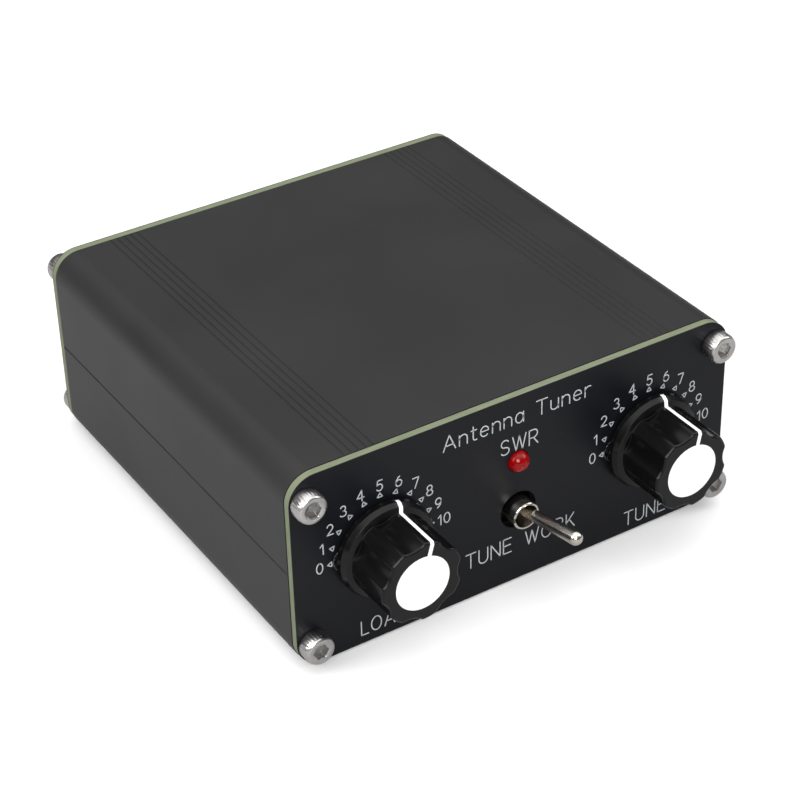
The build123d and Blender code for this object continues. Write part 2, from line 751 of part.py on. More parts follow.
def toggle_switch(name, place):
    """Toggle switch with its lever thrown to the viewer's right."""
    board_bottom = BOARD_BOTTOM - place.origin.Z
    frame_back = FRAME_FRONT - FRAME_THICKNESS
    pivot = place.offset(PIVOT_DEPTH)
    pin_line = Plane(pivot.origin, x_dir=pivot.x_dir, z_dir=pivot.y_dir)
    lever_line = tilted(pivot, SWITCH_TILT)
    rocker_line = tilted(pivot.offset(2 * LEVER_NUB), -SWITCH_TILT)

    with BuildPart() as frame:
        block(place, (FRAME_WIDTH, FRAME_HEIGHT), frame_back, FRAME_FRONT)
        rod(place, BUSHING_RADIUS + FIT_GAP, frame_back, FRAME_FRONT, mode=Mode.SUBTRACT)
        for side in (-1, 1):
            cheek_x = side * (FRAME_WIDTH - FRAME_THICKNESS) / 2
            block(place, (FRAME_THICKNESS, FRAME_HEIGHT), HOUSING_END, frame_back, (cheek_x, 0))
            leg_length = LEG_OVERLAP - FRAME_HEIGHT / 2 - board_bottom + PIN_REACH
            leg_middle = board_bottom - PIN_REACH + leg_length / 2
            block(
                place,
                (FRAME_THICKNESS, leg_length),
                LEG_DEPTH - LEG_WIDTH / 2,
                LEG_DEPTH + LEG_WIDTH / 2,
                (cheek_x, leg_middle),
            )
            leg_spot = place.from_local_coords((cheek_x, 0, LEG_DEPTH))
            board_holes.append((leg_spot.X, leg_spot.Y, LEG_HOLE))
    save(frame.part, f"{name}_switch_frame")

    with BuildPart() as housing:
        block(place, (HOUSING_WIDTH, HOUSING_HEIGHT), HOUSING_END, frame_back)
        block(
            place,
            (HOUSING_WIDTH - 2 * HOUSING_WALL, HOUSING_HEIGHT - 2 * HOUSING_WALL),
            HOUSING_END + HOUSING_WALL,
            frame_back,
            mode=Mode.SUBTRACT,
        )
        for column in (-1, 0, 1):
            for row in (-1, 1):
                block(
                    place,
                    (TERMINAL_WIDTH + TERMINAL_SLOT_GAP, TERMINAL_THICKNESS + TERMINAL_SLOT_GAP),
                    HOUSING_END,
                    HOUSING_END + HOUSING_WALL,
                    (column * TERMINAL_PITCH, row * TERMINAL_ROW),
                    mode=Mode.SUBTRACT,
                )
    save(housing.part, f"{name}_switch_housing")

    with BuildPart() as bushing:
        turned(
            place,
            [
                (BALL_RADIUS + BALL_GAP, frame_back),
                (BUSHING_RADIUS, frame_back),
                (BUSHING_RADIUS, BUSHING_TOP - BUSHING_EDGE),
                (BUSHING_RADIUS - BUSHING_EDGE, BUSHING_TOP),
                (BUSHING_BORE, BUSHING_TOP),
                (BALL_RADIUS + BALL_GAP, PIVOT_DEPTH + SEAT_TOP),
            ],
        )
        block(
            place,
            (2 * KEYWAY_DEPTH, KEYWAY_WIDTH),
            FRAME_FRONT,
            BUSHING_TOP,
            (-BUSHING_RADIUS, 0),
            mode=Mode.SUBTRACT,
        )
        pin_hole_reach = PIVOT_PIN_REACH + BALL_GAP
        rod(
            pin_line,
            PIVOT_PIN_RADIUS + BALL_GAP,
            -pin_hole_reach,
            pin_hole_reach,
            mode=Mode.SUBTRACT,
        )
    save(bushing.part, f"{name}_switch_bushing")

    with BuildPart() as lever:
        rod(lever_line, STEM_RADIUS, LEVER_NUB, 0)
        turned(
            lever_line,
            [
                (0, 0),
                (LEVER_ROOT_RADIUS, 0),
                (LEVER_TIP_RADIUS, LEVER_LENGTH - LEVER_TIP_RADIUS),
                (0, LEVER_LENGTH - LEVER_TIP_RADIUS),
            ],
        )
        with Locations(lever_line.offset(LEVER_LENGTH - LEVER_TIP_RADIUS).location):
            Sphere(LEVER_TIP_RADIUS)
        with Locations(lever_line.location):
            Sphere(BALL_RADIUS)
        rod(pin_line, PIVOT_PIN_RADIUS, -PIVOT_PIN_REACH, PIVOT_PIN_REACH)
        with Locations(lever_line.offset(LEVER_NUB).location):
            Sphere(NUB_RADIUS)
    save(lever.part, f"{name}_switch_lever")

    prong_top = PRONG_ABOVE_NUB - LEVER_NUB
    with BuildPart() as rocker:
        block(
            rocker_line,
            (2 * ROCKER_HALF_LENGTH, ROCKER_DEPTH_Y),
            -ROCKER_THICKNESS / 2,
            ROCKER_THICKNESS / 2,
        )
        block(rocker_line, (ROCKER_SLOT + 2 * ROCKER_PRONG, PRONG_WIDTH), 0, prong_top)
        block(
            rocker_line,
            (ROCKER_SLOT, PRONG_WIDTH),
            -LEVER_NUB - PRONG_BELOW_NUB,
            prong_top,
            mode=Mode.SUBTRACT,
        )
        with Locations(rocker_line.location):
            Cylinder(ROCKER_RIB, ROCKER_DEPTH_Y, rotation=(90, 0, 0))
    save(rocker.part, f"{name}_switch_rocker")

    end_swing = ROCKER_HALF_LENGTH * math.sin(math.radians(SWITCH_TILT))
    pad_drop = end_swing + ROCKER_THICKNESS / 2 + PAD_GAP
    rocker_depth = PIVOT_DEPTH + 2 * LEVER_NUB
    with BuildPart() as terminals:
        for column in (-1, 0, 1):
            contact_top = rocker_depth - (pad_drop if column else ROCKER_RIB + BALL_GAP)
            for row in (-1, 1):
                bend = HOUSING_END - (LOW_TERMINAL_BEND if row < 0 else HIGH_TERMINAL_BEND)
                centre = (column * TERMINAL_PITCH, row * TERMINAL_ROW)
                block(place, (TERMINAL_WIDTH, TERMINAL_THICKNESS), bend, contact_top, centre)
                top = centre[1] + TERMINAL_THICKNESS / 2
                drop = top - board_bottom + PIN_REACH
                block(
                    place,
                    (TERMINAL_WIDTH, drop),
                    bend - TERMINAL_THICKNESS,
                    bend,
                    (centre[0], top - drop / 2),
                )
                pin_spot = place.from_local_coords((centre[0], 0, bend - TERMINAL_THICKNESS / 2))
                board_holes.append((pin_spot.X, pin_spot.Y, TERMINAL_HOLE))
    save(terminals.part, f"{name}_switch_terminals")


toggle_switch("mode", spot(FRONT, 0, SWITCH_Z_FRONT))
toggle_switch("impedance", spot(REAR, 0, SWITCH_Z_REAR))


# ---------------------------------------------------------------- coaxial jacks

def jack_shell(place):
    """Turned outer conductor of a bayonet jack, with its two bayonet lugs."""
    turned(
        place,
        [
            (INSULATOR_RADIUS + FIT_GAP, JACK_TAIL_END),
            (JACK_TAIL, JACK_TAIL_END),
            (JACK_TAIL, JACK_FLANGE_END),
            (JACK_FLANGE, JACK_FLANGE_END),
            (JACK_FLANGE, -PANEL_THICKNESS),
            (THREAD_RADIUS - THREAD_DEPTH, -PANEL_THICKNESS),
            *thread_outline(THREAD_RADIUS, 0, THREAD_TOP),
            (THREAD_RADIUS - THREAD_DEPTH, THREAD_TOP),
            (NECK_RADIUS, THREAD_TOP + NECK_TAPER),
            (NECK_RADIUS, COLLAR_HEIGHT),
            (LUG_BAND_RADIUS, RELIEF_HEIGHT),
            (BARREL_RADIUS, LUG_BAND_TOP),
            (BARREL_RADIUS, JACK_MOUTH - MOUTH_EDGE),
            (BARREL_RADIUS - MOUTH_EDGE, JACK_MOUTH),
            (MOUTH_BORE + MOUTH_EDGE, JACK_MOUTH),
            (MOUTH_BORE, JACK_MOUTH - MOUTH_EDGE),
            (MOUTH_BORE, JACK_FLOOR),
            (INSULATOR_RADIUS + FIT_GAP, JACK_FLOOR),
        ],
    )
    ring_of_round_section(place, COLLAR_ROUND, COLLAR_CENTRE, COLLAR_HEIGHT)
    ring_of_round_section(
        place, RELIEF_ROUND, RELIEF_CENTRE, RELIEF_HEIGHT, mode=Mode.SUBTRACT
    )
    for side in (-1, 1):
        lug_line = Plane(
            place.offset(LUG_HEIGHT).origin, x_dir=place.z_dir, z_dir=place.y_dir * side
        )
        rod(lug_line, LUG_RADIUS, MOUTH_BORE + LUG_ROOT, LUG_REACH)


def jack_contact(place):
    """Gold centre contact: a slotted socket at the mouth and a solder cup inside the case."""
    rod(place, CONTACT_RADIUS, CONTACT_END, CONTACT_TOP)
    bore_floor = CONTACT_TOP - CONTACT_BORE_DEPTH
    slot_floor = CONTACT_TOP - CONTACT_SLOT_DEPTH
    slot_size = (3 * CONTACT_RADIUS, CONTACT_SLOT)
    rod(place, CONTACT_BORE, bore_floor, CONTACT_TOP, mode=Mode.SUBTRACT)
    block(place, slot_size, slot_floor, CONTACT_TOP, mode=Mode.SUBTRACT)
    rod(place, CONTACT_BORE, CONTACT_END, CONTACT_END + SOLDER_CUP_DEPTH, mode=Mode.SUBTRACT)


jack_places = {"radio": spot(REAR, -JACK_X, JACK_Z), "antenna": spot(REAR, JACK_X, JACK_Z)}

for jack, place in jack_places.items():
    with BuildPart() as shell:
        jack_shell(place)
    save(shell.part, f"{jack}_jack_shell")

    with BuildPart() as contact:
        jack_contact(place)
    save(contact.part, f"{jack}_jack_contact")

with BuildPart() as jack_insulators:
    for place in jack_places.values():
        rod(place, INSULATOR_RADIUS, JACK_TAIL_END, INSULATOR_TOP)
        rod(place, CONTACT_RADIUS + FIT_GAP, JACK_TAIL_END, INSULATOR_TOP, mode=Mode.SUBTRACT)
save(jack_insulators.part, "jack_insulators")

with BuildPart() as jack_nuts:
    for place in jack_places.values():
        with BuildSketch(place.offset(WASHER_THICKNESS)) as hexagon:
            RegularPolygon(NUT_FLATS / 2, 6, major_radius=False, rotation=NUT_TURN)
        extrude(hexagon.sketch, amount=NUT_TOP - WASHER_THICKNESS)
        turned(
            place,
            [
                (NUT_FLATS / 2, NUT_TOP),
                (NUT_FLATS / 2 + NUT_CHAMFER_OUT, NUT_TOP),
                (NUT_FLATS / 2 + NUT_CHAMFER_OUT, NUT_TOP - NUT_CHAMFER_DROP),
            ],
            mode=Mode.SUBTRACT,
        )
        rod(place, THREAD_RADIUS + FIT_GAP, WASHER_THICKNESS, NUT_TOP, mode=Mode.SUBTRACT)
save(jack_nuts.part, "jack_nuts")

with BuildPart() as jack_lock_washers:
    for place in jack_places.values():
        with BuildSketch(place) as ring:
            Circle(WASHER_RADIUS)
            Circle(WASHER_BORE, mode=Mode.SUBTRACT)
            with PolarLocations(WASHER_BORE, WASHER_TEETH):
                Rectangle(*WASHER_NOTCH, mode=Mode.SUBTRACT)
        extrude(ring.sketch, amount=WASHER_THICKNESS)
save(jack_lock_washers.part, "jack_lock_washers")


# ---------------------------------------------------------------- signal lamp

lamp = spot(FRONT, 0, LAMP_Z)

with BuildPart() as lamp_lens:
    rod(lamp, LAMP_RADIUS, LAMP_END, LAMP_DOME)
    rod(lamp, LAMP_FLANGE, LAMP_END, LAMP_END + LAMP_FLANGE_HEIGHT)
    with Locations(lamp.offset(LAMP_DOME).location):
        Sphere(LAMP_RADIUS)
save(lamp_lens.part, "signal_lamp")

with BuildPart() as lamp_leads:
    for lead_x in (-LAMP_LEAD_X, LAMP_LEAD_X):
        wire_along(
            [
                (lead_x, -FACE_Y - LAMP_END, LAMP_Z),
                (lead_x, LAMP_LEAD_Y, LAMP_Z),
                (lead_x, LAMP_LEAD_Y, LEAD_TIP_Z),
            ],
            LAMP_LEAD_RADIUS,
            bend=LAMP_LEAD_BEND,
        )
save(lamp_leads.part, "signal_lamp_leads")


# ---------------------------------------------------------------- coils on the board

def ring_core(centre, outer, inner, height, edge):
    """A ring core with rounded edges, its axis upright and its foot on the centre point."""
    with BuildPart() as core:
        with BuildSketch(Plane(centre)):
            Circle(outer)
            Circle(inner, mode=Mode.SUBTRACT)
        extrude(amount=height)
        fillet(core.edges().filter_by(GeomType.CIRCLE), edge)
    return core.part


def ring_winding(foot, core, wire, turns, first_angle, span):
    """Path points of a wire wound round a ring core, with both ends led down to the board.

    The core is (outer radius, inner radius, height), and its foot is the centre below it.
    """
    outer, inner, height = core
    clear = wire + COIL_GAP
    end_radius = outer + clear + COIL_TAIL
    step = span / turns
    loop = (
        (outer + clear, -clear, 0.0),
        (outer + clear, height + clear, 0.0),
        (inner - clear, height + clear, 0.5),
        (inner - clear, -clear, 0.5),
    )
    stations = [(end_radius, LEAD_TIP_Z - foot[2], 0.0), (end_radius, -clear, 0.0)]
    for turn in range(turns):
        for radius, level, share in loop[1 if turn == 0 else 0 :]:
            stations.append((radius, level, (turn + share) * step))
    stations.append((end_radius, -clear, span))
    stations.append((end_radius, LEAD_TIP_Z - foot[2], span))
    return [
        Vector(*foot) + Vector(radius, 0, level).rotate(Axis.Z, first_angle + angle)
        for radius, level, angle in stations
    ]


COIL_FOOT = (CORE_X, CORE_Y, BOARD_TOP + CORE_LIFT)
SENSE_FOOT = (SENSE_X, SENSE_Y, BOARD_TOP + SENSE_LIFT)
COIL_CORE = (CORE_OUTER, CORE_INNER, CORE_HEIGHT)
SENSE_CORE = (SENSE_OUTER, SENSE_INNER, SENSE_HEIGHT)

save(ring_core(COIL_FOOT, *COIL_CORE, CORE_EDGE), "coil_core")
save(ring_core(SENSE_FOOT, *SENSE_CORE, SENSE_EDGE), "sense_core")

for name, foot, core, wire, turns, first_angle, span in (
    ("tank_winding", COIL_FOOT, COIL_CORE, COIL_WIRE, TANK_TURNS, TANK_START, TANK_SPAN),
    ("link_winding", COIL_FOOT, COIL_CORE, COIL_WIRE, LINK_TURNS, LINK_START, LINK_SPAN),
    ("sense_winding", SENSE_FOOT, SENSE_CORE, SENSE_WIRE, SENSE_TURNS, SENSE_START, SENSE_SPAN),
):
    with BuildPart() as winding:
        wire_along(
            ring_winding(foot, core, wire, turns, first_angle, span), wire, bend=2 * wire + 0.1
        )
    save(winding.part, name)

clamp_axis = Plane(COIL_FOOT)
clamp_low = CORE_HEIGHT + 2 * (COIL_WIRE + COIL_GAP)
pin_low = -CORE_LIFT - BOARD_THICKNESS
with BuildPart() as coil_clamp:
    turned(
        clamp_axis,
        [
            (0, clamp_low + CLAMP_THICKNESS),
            (CLAMP_RADIUS, clamp_low + CLAMP_THICKNESS),
            (CLAMP_RADIUS, clamp_low),
            (CLAMP_STEM, clamp_low),
            (CLAMP_STEM, -CORE_LIFT),
            (CLAMP_PIN, -CORE_LIFT),
            (CLAMP_PIN, pin_low),
            (CLAMP_PIN + CLAMP_BARB_OUT, pin_low),
            (CLAMP_PIN - CLAMP_TIP_IN, pin_low - CLAMP_TIP),
            (0, pin_low - CLAMP_TIP),
        ],
    )
board_holes.append((CORE_X, CORE_Y, CLAMP_PIN + LEAD_GAP))
save(coil_clamp.part, "coil_clamp")


# ---------------------------------------------------------------- bridge parts and wiring

def axial_part(centre, radius, length, lead_span, lead):
    """A round bodied part lying along x, with both leads bent down through the board."""
    x, y, z = centre
    body_line = Plane((x, y, z), x_dir=(0, 1, 0), z_dir=(1, 0, 0))
    wire_along(
        [
            (x - lead_span / 2, y, LEAD_TIP_Z),
            (x - lead_span / 2, y, z),
            (x + lead_span / 2, y, z),
            (x + lead_span / 2, y, LEAD_TIP_Z),
        ],
        lead,
        bend=LEAD_BEND,
    )
    rod(body_line, radius, -length / 2, length / 2)


with BuildPart() as bridge_resistors:
    for row in range(RESISTOR_COUNT):
        middle = (RESISTOR_X, RESISTOR_FIRST_Y + row * RESISTOR_PITCH, RESISTOR_Z)
        axial_part(middle, RESISTOR_RADIUS, RESISTOR_LENGTH, RESISTOR_SPAN, LEAD_RADIUS)
save(bridge_resistors.part, "bridge_resistors")

with BuildPart() as detector_diode:
    axial_part(DIODE_PLACE, DIODE_RADIUS, DIODE_LENGTH, DIODE_SPAN, DIODE_LEAD_RADIUS)
save(detector_diode.part, "detector_diode")

wire_ends = []
for jack, place in jack_places.items():
    start = place.from_local_coords((0, 0, CONTACT_END))
    drop_y = start.Y - JACK_WIRE_REACH
    wire_ends.append(
        [
            start,
            start - Vector(0, JACK_WIRE_RUN, 0),
            (start.X, drop_y, BOARD_TOP + JACK_WIRE_RISE),
            (start.X, drop_y, LEAD_TIP_Z),
        ]
    )
for control_x in (-KNOB_X, KNOB_X):
    for side in (-1, 1):
        post_spot = spot(FRONT, control_x + side * POST_OFFSET, KNOB_Z - POST_OFFSET)
        start = post_spot.from_local_coords((0, 0, POST_END))
        corner = start + Vector(0, CAPACITOR_WIRE_RUN, 0)
        wire_ends.append([start, corner, (corner.X, corner.Y, LEAD_TIP_Z)])

with BuildPart() as hookup_wires:
    for path_points in wire_ends:
        wire_along(path_points, WIRE_RADIUS, bend=WIRE_BEND)
save(hookup_wires.part, "hookup_wires")


# ---------------------------------------------------------------- circuit board

board_half_width = CASE_WIDTH / 2 - WALL - BOARD_SIDE_GAP
with BuildPart() as main_board:
    with BuildSketch(Plane.XY.offset(BOARD_BOTTOM)):
        with BuildLine():
            Polyline(
                (0, BOARD_FRONT_Y),
                (FRONT_NOTCH_X, BOARD_FRONT_Y),
                (FRONT_NOTCH_X, FRONT_NOTCH_Y),
                (board_half_width, FRONT_NOTCH_Y),
                (board_half_width, REAR_NOTCH_Y),
                (REAR_NOTCH_X, REAR_NOTCH_Y),
                (REAR_NOTCH_X, BOARD_REAR_Y),
                (0, BOARD_REAR_Y),
                close=True,
            )
        make_face()
        mirror(about=Plane.YZ)
        for hole_x, hole_y, hole_radius in board_holes:
            with Locations((hole_x, hole_y)):
                Circle(hole_radius, mode=Mode.SUBTRACT)
    extrude(amount=BOARD_THICKNESS)
save(main_board.part, "main_board")
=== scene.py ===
import json
import math

import bmesh
import bpy
from mathutils import Matrix, Vector


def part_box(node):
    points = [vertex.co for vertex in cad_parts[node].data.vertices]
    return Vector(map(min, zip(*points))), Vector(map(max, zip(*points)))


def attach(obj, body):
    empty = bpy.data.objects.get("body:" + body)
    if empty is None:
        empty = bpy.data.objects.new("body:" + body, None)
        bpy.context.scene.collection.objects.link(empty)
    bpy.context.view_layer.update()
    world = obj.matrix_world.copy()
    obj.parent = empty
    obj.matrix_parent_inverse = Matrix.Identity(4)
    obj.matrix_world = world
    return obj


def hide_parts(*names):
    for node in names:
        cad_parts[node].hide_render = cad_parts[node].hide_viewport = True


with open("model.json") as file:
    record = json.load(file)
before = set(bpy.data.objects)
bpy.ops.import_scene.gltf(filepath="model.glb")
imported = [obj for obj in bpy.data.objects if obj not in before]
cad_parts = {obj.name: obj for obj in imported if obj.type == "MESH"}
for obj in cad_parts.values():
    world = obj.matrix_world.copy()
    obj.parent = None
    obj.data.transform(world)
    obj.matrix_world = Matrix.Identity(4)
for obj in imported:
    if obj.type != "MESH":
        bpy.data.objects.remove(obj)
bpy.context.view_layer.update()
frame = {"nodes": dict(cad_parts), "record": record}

MM = 0.001


# ---------------------------------------------------------------- where the panels are

def panel_spot(side, across, up, out=0.0):
    """Matrix of a place on a panel, in millimetres seen from outside.

    Its x runs to the viewer's right, its y is up and its z points out of the panel.
    Side -1 is the front panel and side 1 the rear one.
    """
    low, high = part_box("front_panel") if side < 0 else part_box("rear_panel")
    face_y = low[1] if side < 0 else high[1]
    right = Vector((-side, 0, 0))
    upward = Vector((0, 0, 1))
    outward = Vector((0, side, 0))
    place = Matrix((right, upward, outward)).transposed().to_4x4()
    place.translation = right * across * MM + upward * up * MM + outward * out * MM
    place.translation.y += face_y
    return place


def node_centre(node):
    """Centre of a CAD node's box, in millimetres."""
    low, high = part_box(node)
    return [(a + b) / 2 / MM for a, b in zip(low, high)]


# ---------------------------------------------------------------- materials

class Graph:
    """A material's node tree, with short calls that add nodes and join sockets."""

    def __init__(self, name):
        self.material = bpy.data.materials.new(name)
        self.material.use_nodes = True
        self.tree = self.material.node_tree
        self.tree.nodes.clear()
        self.output = self.tree.nodes.new("ShaderNodeOutputMaterial")
        self.shader = self.tree.nodes.new("ShaderNodeBsdfPrincipled")
        self.tree.links.new(self.shader.outputs["BSDF"], self.output.inputs["Surface"])
        self.place = self.tree.nodes.new("ShaderNodeTexCoord").outputs["Object"]

    def node(self, kind, out, settings=None, **inputs):
        """Adds a node, sets its properties and inputs, and returns one of its outputs."""
        made = self.tree.nodes.new(kind)
        for key, value in (settings or {}).items():
            setattr(made, key, value)
        for key, value in inputs.items():
            index = int(key[1:]) if key[0] == "i" and key[1:].isdigit() else key.replace("_", " ")
            self.feed(made.inputs[index], value)
        return made.outputs[out]

    def feed(self, socket, value):
        if isinstance(value, bpy.types.NodeSocket):
            self.tree.links.new(value, socket)
        else:
            socket.default_value = value

    def set(self, **inputs):
        for key, value in inputs.items():
            self.feed(self.shader.inputs[key.replace("_", " ")], value)

    def stretched(self, x, y, z):
        """The object coordinates, scaled along each axis."""
        return self.node("ShaderNodeMapping", "Vector", Vector=self.place, Scale=(x, y, z))

    def noise(self, scale, detail=3.0, vector=None):
        return self.node(
            "ShaderNodeTexNoise",
            "Fac",
            Vector=vector or self.place,
            Scale=scale,
            Detail=detail,
        )

    def between(self, value, low, high, from_low=0.3, from_high=0.7):
        """Maps a value's range on to low..high."""
        return self.node(
            "ShaderNodeMapRange",
            "Result",
            {"clamp": True},
            Value=value,
            From_Min=from_low,
            From_Max=from_high,
            To_Min=low,
            To_Max=high,
        )

    def maths(self, operation, first, second=0.0):
        return self.node("ShaderNodeMath", 0, {"operation": operation}, i0=first, i1=second)

    def blend(self, factor, first, second):
        """Mixes two colours."""
        return self.node(
            "ShaderNodeMix", 2, {"data_type": "RGBA"}, i0=factor, i6=first, i7=second
        )

    def bump(self, height, strength, distance, normal=None):
        made = self.node(
            "ShaderNodeBump", "Normal", Height=height, Strength=strength, Distance=distance
        )
        if normal is not None:
            self.tree.links.new(normal, made.node.inputs["Normal"])
        return made

    def soft_edges(self, radius):
        """Normals rounded over sharp edges."""
        return self.node("ShaderNodeBevel", "Normal", {"samples": 4}, Radius=radius)

    def edge_mask(self, radius):
        """0 on flat ground and 1 where the surface turns a sharp edge."""
        rounded = self.soft_edges(radius)
        flat = self.node("ShaderNodeNewGeometry", "Normal")
        turn = self.node(
            "ShaderNodeVectorMath", "Value", {"operation": "DOT_PRODUCT"}, i0=rounded, i1=flat
        )
        return self.between(turn, 1.0, 0.0, 0.80, 0.985)


def rgb(red, green, blue):
    return (red, green, blue, 1.0)


def finish(
    name,
    colour,
    second,
    rough,
    metallic=0.0,
    grain=4000.0,
    grain_depth=0.00001,
    grain_strength=0.15,
    patch=60.0,
    edge=0.0001,
    worn=None,
    **extra,
):
    """A general finish: two mixed tones, uneven roughness, fine grain and softened edges."""
    g = Graph(name)
    broad = g.noise(patch, 4.0)
    fine = g.noise(grain, 2.0)
    tone = g.blend(g.between(broad, 0.0, 1.0), colour, second)
    roughness = g.between(broad, rough[0], rough[1])
    if worn is not None:
        worn_colour, worn_rough = worn
        scuffs = g.maths("MULTIPLY", g.edge_mask(edge * 2), g.between(g.noise(900.0), 0.2, 1.0))
        tone = g.blend(scuffs, tone, worn_colour)
        roughness = g.node(
            "ShaderNodeMix", 0, {"data_type": "FLOAT"}, i0=scuffs, i2=roughness, i3=worn_rough
        )
    g.set(
        Base_Color=tone,
        Metallic=metallic,
        Roughness=roughness,
        Normal=g.bump(fine, grain_strength, grain_depth, g.soft_edges(edge)),
        **extra,
    )
    return g.material


def anodised_case():
    """Black anodised aluminium: fine blasted grain with faint drawing lines along the case."""
    g = Graph("black_anodise")
    blasted = g.noise(9000.0, 2.0)
    drawn = g.noise(1.0, 3.0, g.stretched(2500.0, 12.0, 2500.0))
    broad = g.noise(35.0, 4.0)
    dye, faded_dye = rgb(0.0125, 0.0125, 0.013), rgb(0.016, 0.016, 0.0165)
    tone = g.blend(g.between(broad, 0.0, 1.0), dye, faded_dye)
    worn = g.maths("MULTIPLY", g.edge_mask(0.00012), g.between(g.noise(700.0), 0.0, 0.5))
    relief = g.maths("ADD", blasted, g.maths("MULTIPLY", drawn, 0.35))
    g.set(
        Base_Color=g.blend(worn, tone, rgb(0.045, 0.045, 0.045)),
        Roughness=g.between(broad, 0.42, 0.50),
        Specular_IOR_Level=0.42,
        Normal=g.bump(relief, 0.2, 0.00001, g.soft_edges(0.0001)),
    )
    return g.material


# The panel's outline is a core rectangle grown by its corner radius. Half sizes, in millimetres.
PANEL_CORE_ACROSS = 38.9
PANEL_CORE_UP = 13.9
PANEL_MIDDLE_UP = 19.0
# The bare rim starts this far from the core, and ends this far from the board's middle plane.
RIM_START = 4.6
RIM_HALF_WIDTH = (0.58, 0.70)


def panel_rim(g):
    """1 on the panels' outer cut edge, and 0 on their faces, holes and coated corners."""
    across = g.node("ShaderNodeSeparateXYZ", "X", Vector=g.place)
    up = g.node("ShaderNodeSeparateXYZ", "Z", Vector=g.place)
    past_side = g.maths("SUBTRACT", g.maths("ABSOLUTE", across), PANEL_CORE_ACROSS * MM)
    rise = g.maths("ABSOLUTE", g.maths("SUBTRACT", up, PANEL_MIDDLE_UP * MM))
    past_top = g.maths("SUBTRACT", rise, PANEL_CORE_UP * MM)
    reach = g.maths(
        "SQRT",
        g.maths(
            "ADD",
            g.maths("POWER", g.maths("MAXIMUM", past_side, 0.0), 2.0),
            g.maths("POWER", g.maths("MAXIMUM", past_top, 0.0), 2.0),
        ),
    )
    front_y = sum(corner[1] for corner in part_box("front_panel")) / 2
    rear_y = sum(corner[1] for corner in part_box("rear_panel")) / 2
    along = g.node("ShaderNodeSeparateXYZ", "Y", Vector=g.place)
    depth = g.maths("SUBTRACT", along, (front_y + rear_y) / 2)
    off_board = g.maths("SUBTRACT", g.maths("ABSOLUTE", depth), (rear_y - front_y) / 2)
    bare_from, bare_to = RIM_HALF_WIDTH
    return g.maths(
        "MULTIPLY",
        g.maths("GREATER_THAN", reach, RIM_START * MM),
        g.between(g.maths("ABSOLUTE", off_board), 1.0, 0.0, bare_from * MM, bare_to * MM),
    )


def coated_panel():
    """Black coated glass-fibre panel, whose outer cut edge shows the pale bare laminate."""
    g = Graph("black_panel")
    facing = g.node("ShaderNodeSeparateXYZ", "Y", Vector=g.node("ShaderNodeNewGeometry", "Normal"))
    sideways = g.between(g.maths("ABSOLUTE", facing), 1.0, 0.0, 0.4, 0.6)
    on_face = g.maths("SUBTRACT", 1.0, g.maths("MULTIPLY", sideways, panel_rim(g)))
    cloth_x = g.node(
        "ShaderNodeTexWave", "Fac", Vector=g.place, Scale=700.0, Distortion=0.4, Detail=1.0
    )
    cloth_z = g.node(
        "ShaderNodeTexWave",
        "Fac",
        {"bands_direction": "Z"},
        Vector=g.place,
        Scale=700.0,
        Distortion=0.4,
        Detail=1.0,
    )
    weave = g.maths("MULTIPLY", cloth_x, cloth_z)
    peel = g.noise(1400.0, 2.0)
    broad = g.noise(40.0, 3.0)
    black, thin_black = rgb(0.0040, 0.0044, 0.0062), rgb(0.0052, 0.0056, 0.0078)
    coat = g.blend(g.between(broad, 0.0, 1.0), black, thin_black)
    layers = g.noise(1.0, 2.0, g.stretched(300.0, 6000.0, 300.0))
    resin, glass = rgb(0.125, 0.148, 0.085), rgb(0.18, 0.205, 0.13)
    laminate = g.blend(g.between(layers, 0.0, 1.0), resin, glass)
    relief = g.maths("ADD", g.maths("MULTIPLY", weave, 0.25), peel)
    g.set(
        Base_Color=g.blend(on_face, laminate, coat),
        Roughness=g.node(
            "ShaderNodeMix",
            0,
            {"data_type": "FLOAT"},
            i0=on_face,
            i2=0.75,
            i3=g.between(broad, 0.32, 0.40),
        ),
        Specular_IOR_Level=g.between(on_face, 0.5, 0.18, 0.0, 1.0),
        Normal=g.bump(relief, 0.10, 0.00001, g.soft_edges(0.00008)),
    )
    return g.material


def plated(name, colour, second, rough, ring_strength=0.12):
    """Plated turned metal: fine tool rings across the turning axis, and faint tarnish."""
    g = Graph(name)
    rings = g.noise(1.0, 2.0, g.stretched(40.0, 9000.0, 40.0))
    tarnish = g.noise(350.0, 4.0)
    tone = g.blend(g.between(tarnish, 0.0, 1.0), colour, second)
    g.set(
        Base_Color=tone,
        Metallic=1.0,
        Roughness=g.between(tarnish, rough[0], rough[1]),
        Normal=g.bump(rings, ring_strength, 0.000006, g.soft_edges(0.00006)),
    )
    return g.material


def lamp_epoxy():
    """Deep red epoxy of the lamp, which lets a little light through."""
    g = Graph("red_epoxy")
    swirl = g.noise(800.0, 2.0)
    red, deep_red = rgb(0.30, 0.0006, 0.0012), rgb(0.22, 0.0005, 0.001)
    g.set(
        Base_Color=g.blend(g.between(swirl, 0.0, 1.0), red, deep_red),
        Roughness=g.between(swirl, 0.06, 0.12),
        Transmission_Weight=0.12,
        IOR=1.45,
        Specular_IOR_Level=0.3,
        Normal=g.bump(g.noise(2500.0), 0.05, 0.000004),
    )
    return g.material


